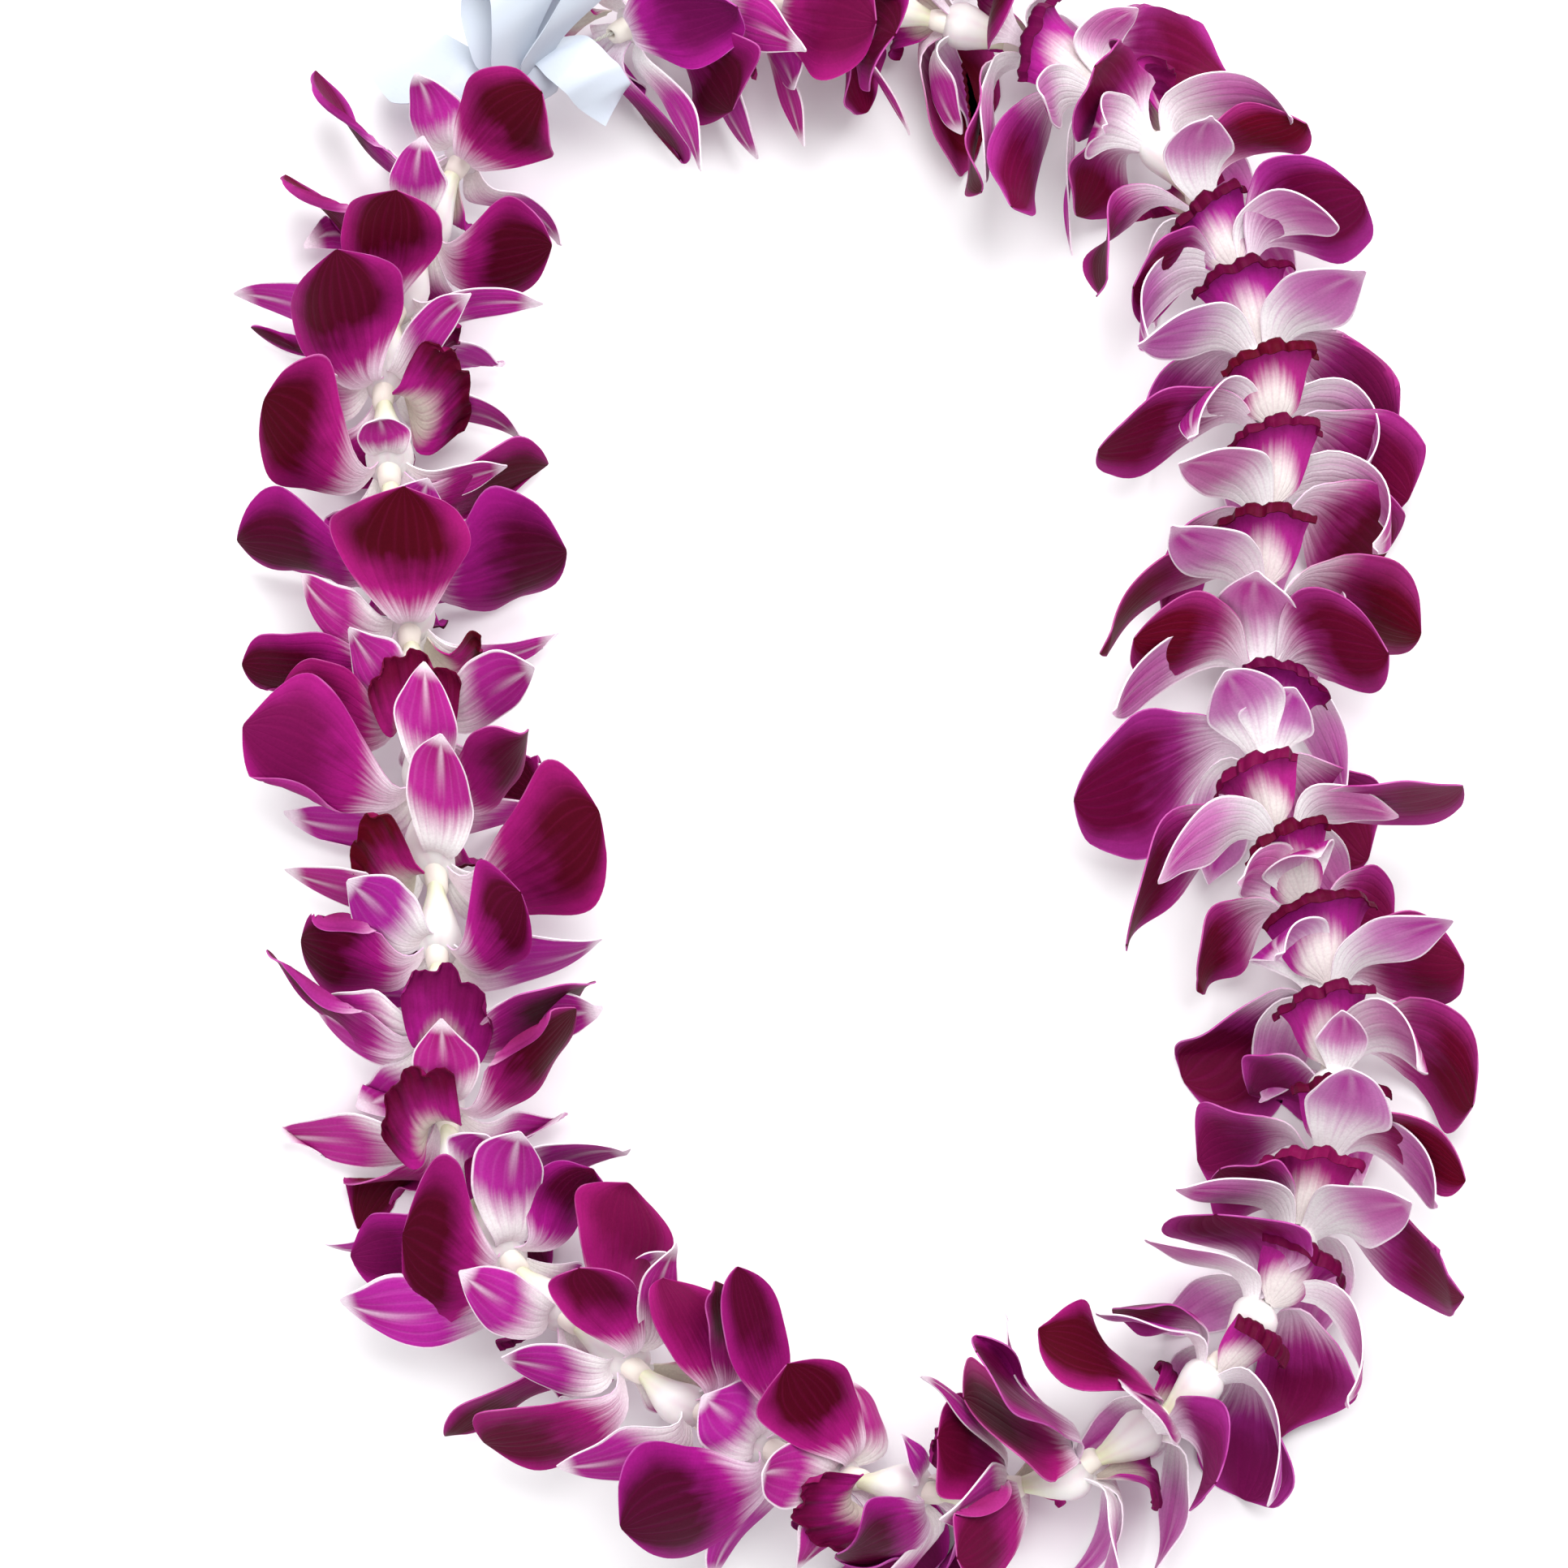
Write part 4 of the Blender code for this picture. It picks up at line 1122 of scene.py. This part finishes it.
threadShape = {
    "radius": 0.3,
    "twist": 3.0,
    "steps": 6,
    "sides": 5,
    "apart": 0.26,
    # the knot's start and end along the route, its radius and how softly it swells
    "knot": (8.3, 9.9, 1.1, 0.9),
}

threadColours = {
    "Near": (0.8, 0.78, 0.72, 1), "Far": (0.7, 0.68, 0.6, 1), "Rib Pink And Painted Shade Share": 0.0, "Ridges": 40.0,
}
threadMaterial = groupedMaterial("twistedCotton", waxFade, threadColours, 0.5, 0.0002, roughness=0.8)


def ply(phase):
    count = int(routeLength / threadShape["twist"] * threadShape["steps"])
    sides = threadShape["sides"]
    along = np.arange(count) / count * routeLength
    here, outward = routeAt(along)
    turn = 2 * math.pi * np.arange(count) / threadShape["steps"] + phase
    start, end, thick, softness = threadShape["knot"]
    near = np.exp(-((along - (start + end) / 2) / softness) ** 2)
    swell = 1 + (thick / threadShape["radius"] - 1) * near
    centre = np.column_stack([here + outward * (np.cos(turn) * threadShape["apart"])[:, None],
                              leiRoute["height"] + np.sin(turn) * threadShape["apart"]])
    points = []
    for k in range(sides):
        angle = 2 * math.pi * k / sides
        radius = threadShape["radius"] * swell
        ringPoint = centre.copy()
        ringPoint[:, :2] += outward * (radius * math.cos(angle))[:, None]
        ringPoint[:, 2] += radius * math.sin(angle)
        points.append(ringPoint)
    points = np.stack(points, axis=1).reshape(-1, 3)
    faces = []
    for i in range(count):
        ring, after = i * sides, (i + 1) % count * sides
        for k in range(sides):
            beside = (k + 1) % sides
            faces.append((ring + k, ring + beside, after + beside, after + k))
    strand = bpy.data.meshes.new("ply")
    strand.from_pydata(millimetres(points).tolist(), [], faces)
    strand.uv_layers.new(name="flat")
    strand.materials.append(threadMaterial)
    made = bpy.data.objects.new("ply", strand)
    bpy.context.scene.collection.objects.link(made)
    return made


thread = joinInto(ply(0.0), [ply(math.pi)])
thread.name = "twistedThread"
activate(thread)
bpy.ops.object.mode_set(mode="EDIT")
bpy.ops.mesh.select_all(action="SELECT")
bpy.ops.mesh.normals_make_consistent(inside=False)
bpy.ops.object.mode_set(mode="OBJECT")
bpy.ops.object.shade_smooth()
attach(thread, "root")
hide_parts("thread")
print("thread twisted")

# ribbon bow

bowShape = {
    "thickness": 0.4,
    "loops": [
        [(2, 2.5, 0, 6), (6, 8, 2, 12), (12, 15, 4, 16), (19, 19, 6, 17), (26, 17, 7, 17),
         (28, 12, 7, 17), (23, 8, 6, 16), (13, 6, 3, 13), (2, 1, 0, 6)],
        [(1, 3, -1, 6), (3, 9, -3, 12), (6, 17, -6, 15), (11, 22, -8, 16), (17, 22, -9, 16),
         (20, 16, -9, 16), (15, 10, -7, 15), (8, 6, -4, 12), (1, 1, 0, 6)],
    ],
    "tails": [
        [(2, -1, 1, 6), (8, 1, 6, 12), (15, 0, 12, 15), (22, -5, 17, 16), (29, -12, 20, 16)],
        [(5, 3, -5, 8), (1, 7.5, -8, 14), (-4, 9, -9, 16), (-9, 9, -10, 17), (-14, 6, -11, 16),
         (-17, 2, -13, 16)],
    ],
    "tailSlant": 6.0,
    "crease": 0.7,
    "ripple": (0.3, 0.7),
    "ripples": 9,
    "columns": 14,
    "rows": 48,
    "readings": 400,
    "ease": 30,
    "knotSides": 28,
    "knotRipple": 0.35,
    # distance ahead and radius of the knot
    "knot": [(-5.0, 3.0), (-4.2, 4.4), (-2.6, 5.2), (0, 5.5), (2.6, 5.2), (4.2, 4.4), (5.0, 3.2)],
}

satinLook = {"colour": (0.56, 0.62, 0.7, 1), "roughness": 0.32, "coat": 0.15,
             "weave": 900.0, "relief": 0.12, "distance": 0.0003}
satin, satinShader = newMaterial("whiteSatin", satinLook["roughness"], coat=satinLook["coat"])
satinShader.inputs["Base Color"].default_value = satinLook["colour"]
satinPlace = addNode(satin.node_tree, "ShaderNodeTexCoord").outputs["Object"]
satinWeave = noise(satin.node_tree, satinPlace, satinLook["weave"], 2.0)
roughen(satin.node_tree, satinShader, satinWeave, satinLook["relief"], satinLook["distance"])


# a strip's stations, each across, up, ahead and width, eased and read at shares of its length
def smoothStations(stations, parts):
    table = np.array(stations, float)
    steps = np.arange(len(table))
    dense = np.linspace(0, len(table) - 1, bowShape["readings"])
    eased = np.column_stack([np.interp(dense, steps, table[:, k]) for k in range(4)])
    ease = bowShape["ease"]
    weights = np.hanning(2 * ease + 1)
    weights /= weights.sum()
    padded = np.vstack([np.repeat(eased[:1], ease, axis=0), eased, np.repeat(eased[-1:], ease, axis=0)])
    eased = np.column_stack([np.convolve(padded[:, k], weights, "valid") for k in range(4)])
    wanted = parts * (len(dense) - 1)
    return np.column_stack([np.interp(wanted, np.arange(len(dense)), eased[:, k]) for k in range(4)])


def ribbonStrip(name, stations, slant, seed):
    draw = random.Random(seed)
    deselectAll()
    bpy.ops.mesh.primitive_grid_add(x_subdivisions=bowShape["columns"],
                                    y_subdivisions=bowShape["rows"], size=2)
    strip = bpy.context.object
    strip.name = name
    points = readPoints(strip)
    part, side = (points[:, 1] + 1) / 2, points[:, 0]
    across, up, ahead, width = smoothStations(stations, part).T
    across = across + np.sign(stations[-1][0]) * slant * side / 2 * np.clip(part - 0.8, 0, 1) * 5
    crease = bowShape["crease"] * np.cos(side * math.pi * 0.5)
    depth, phase = draw.uniform(*bowShape["ripple"]), draw.uniform(0, 6)
    ripple = depth * np.sin(bowShape["ripples"] * part + phase) * side
    up = up + (crease + ripple) * np.sin(math.pi * part)
    forward = ahead + side * width / 2 - leanBack(np.hypot(across, up), np.arctan2(up, across), 0.0)
    writePoints(strip, put(0.0, across, up, forward))
    return strip


strips = []
for label, slant, seed in (("loops", 0.0, 50), ("tails", bowShape["tailSlant"], 60)):
    for k, stations in enumerate(bowShape[label]):
        strips.append(ribbonStrip(f"{label}{k}", stations, slant, seed + k))
deselectAll()
bpy.ops.mesh.primitive_cylinder_add(vertices=bowShape["knotSides"], radius=1, depth=2,
                                    end_fill_type="NOTHING")
knot = bpy.context.object
knot.name = "bowKnot"
bpy.ops.object.mode_set(mode="EDIT")
bpy.ops.mesh.select_all(action="SELECT")
bpy.ops.mesh.subdivide(number_cuts=3)
bpy.ops.object.mode_set(mode="OBJECT")
knotPoints = readPoints(knot)
knotAheads, knotRadii = zip(*bowShape["knot"])
knotAhead = knotPoints[:, 2] * knotAheads[-1]
knotTurn = np.arctan2(knotPoints[:, 1], knotPoints[:, 0])
knotRadius = np.interp(knotAhead, knotAheads, knotRadii)
knotRadius = knotRadius + bowShape["knotRipple"] * np.sin(5 * knotTurn + knotAhead)
writePoints(knot, put(0.0, knotRadius * np.cos(knotTurn), knotRadius * np.sin(knotTurn), knotAhead))
bow = joinInto(strips[0], strips[1:] + [knot])
bow.name = "satinBow"
bow.data.materials.clear()
bow.data.materials.append(satin)
bowWall = bow.modifiers.new("Wall", "SOLIDIFY")
bowWall.thickness = bowShape["thickness"] * 0.001
bowWall.offset = 0
activate(bow)
bpy.ops.object.modifier_apply(modifier=bowWall.name)
bpy.ops.object.shade_smooth_by_angle(angle=math.radians(50))
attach(bow, "root")
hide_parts("ribbon_bow")
print("bow tied")

# floor, light and camera

studio = {
    "floor": {"size": 6, "colour": (0.93, 0.93, 0.94, 1), "roughness": 0.8, "gloss": 0.1},
    "key": {"place": (0.25, 0.85, 1.4), "size": 1.3, "power": 35.0},
    "fill": {"place": (-0.7, -0.5, 1.7), "size": 1.8, "power": 11.0},
    "sky": 0.6,
}
deselectAll()
bpy.ops.mesh.primitive_plane_add(size=studio["floor"]["size"], location=(0, 0, 0))
floor = bpy.context.object
floor.name = "paleFloor"
floorMaterial, floorShader = newMaterial("paleFloor", studio["floor"]["roughness"],
                                         gloss=studio["floor"]["gloss"])
floorShader.inputs["Base Color"].default_value = studio["floor"]["colour"]
floor.data.materials.append(floorMaterial)

for label in ("key", "fill"):
    light = studio[label]
    bpy.ops.object.light_add(type="AREA", location=light["place"])
    lamp = bpy.context.object
    lamp.name = label + "Light"
    lamp.data.shape = "SQUARE"
    lamp.data.size = light["size"]
    lamp.data.energy = light["power"]
    lamp.rotation_euler = (-Vector(light["place"])).to_track_quat("-Z", "Y").to_euler()
sky = bpy.data.worlds.new("softSky")
sky.use_nodes = True
sky.node_tree.nodes["Background"].inputs[0].default_value = (1, 1, 1, 1)
sky.node_tree.nodes["Background"].inputs[1].default_value = studio["sky"]
bpy.context.scene.world = sky
bpy.context.scene.view_settings.view_transform = "Standard"

frameWidth = photo["pixels"] * photo["millimetresEach"] * 0.001
bpy.ops.object.camera_add(location=(viewMiddle[0] * 0.001, viewMiddle[1] * 0.001,
                                    photo["cameraHeight"] + leiRoute["height"] * 0.001), rotation=(0, 0, 0))
camera = bpy.context.object
camera.data.sensor_width = photo["sensor"]
camera.data.lens = photo["sensor"] * photo["cameraHeight"] / frameWidth
bpy.context.scene.camera = camera
print("studio set")
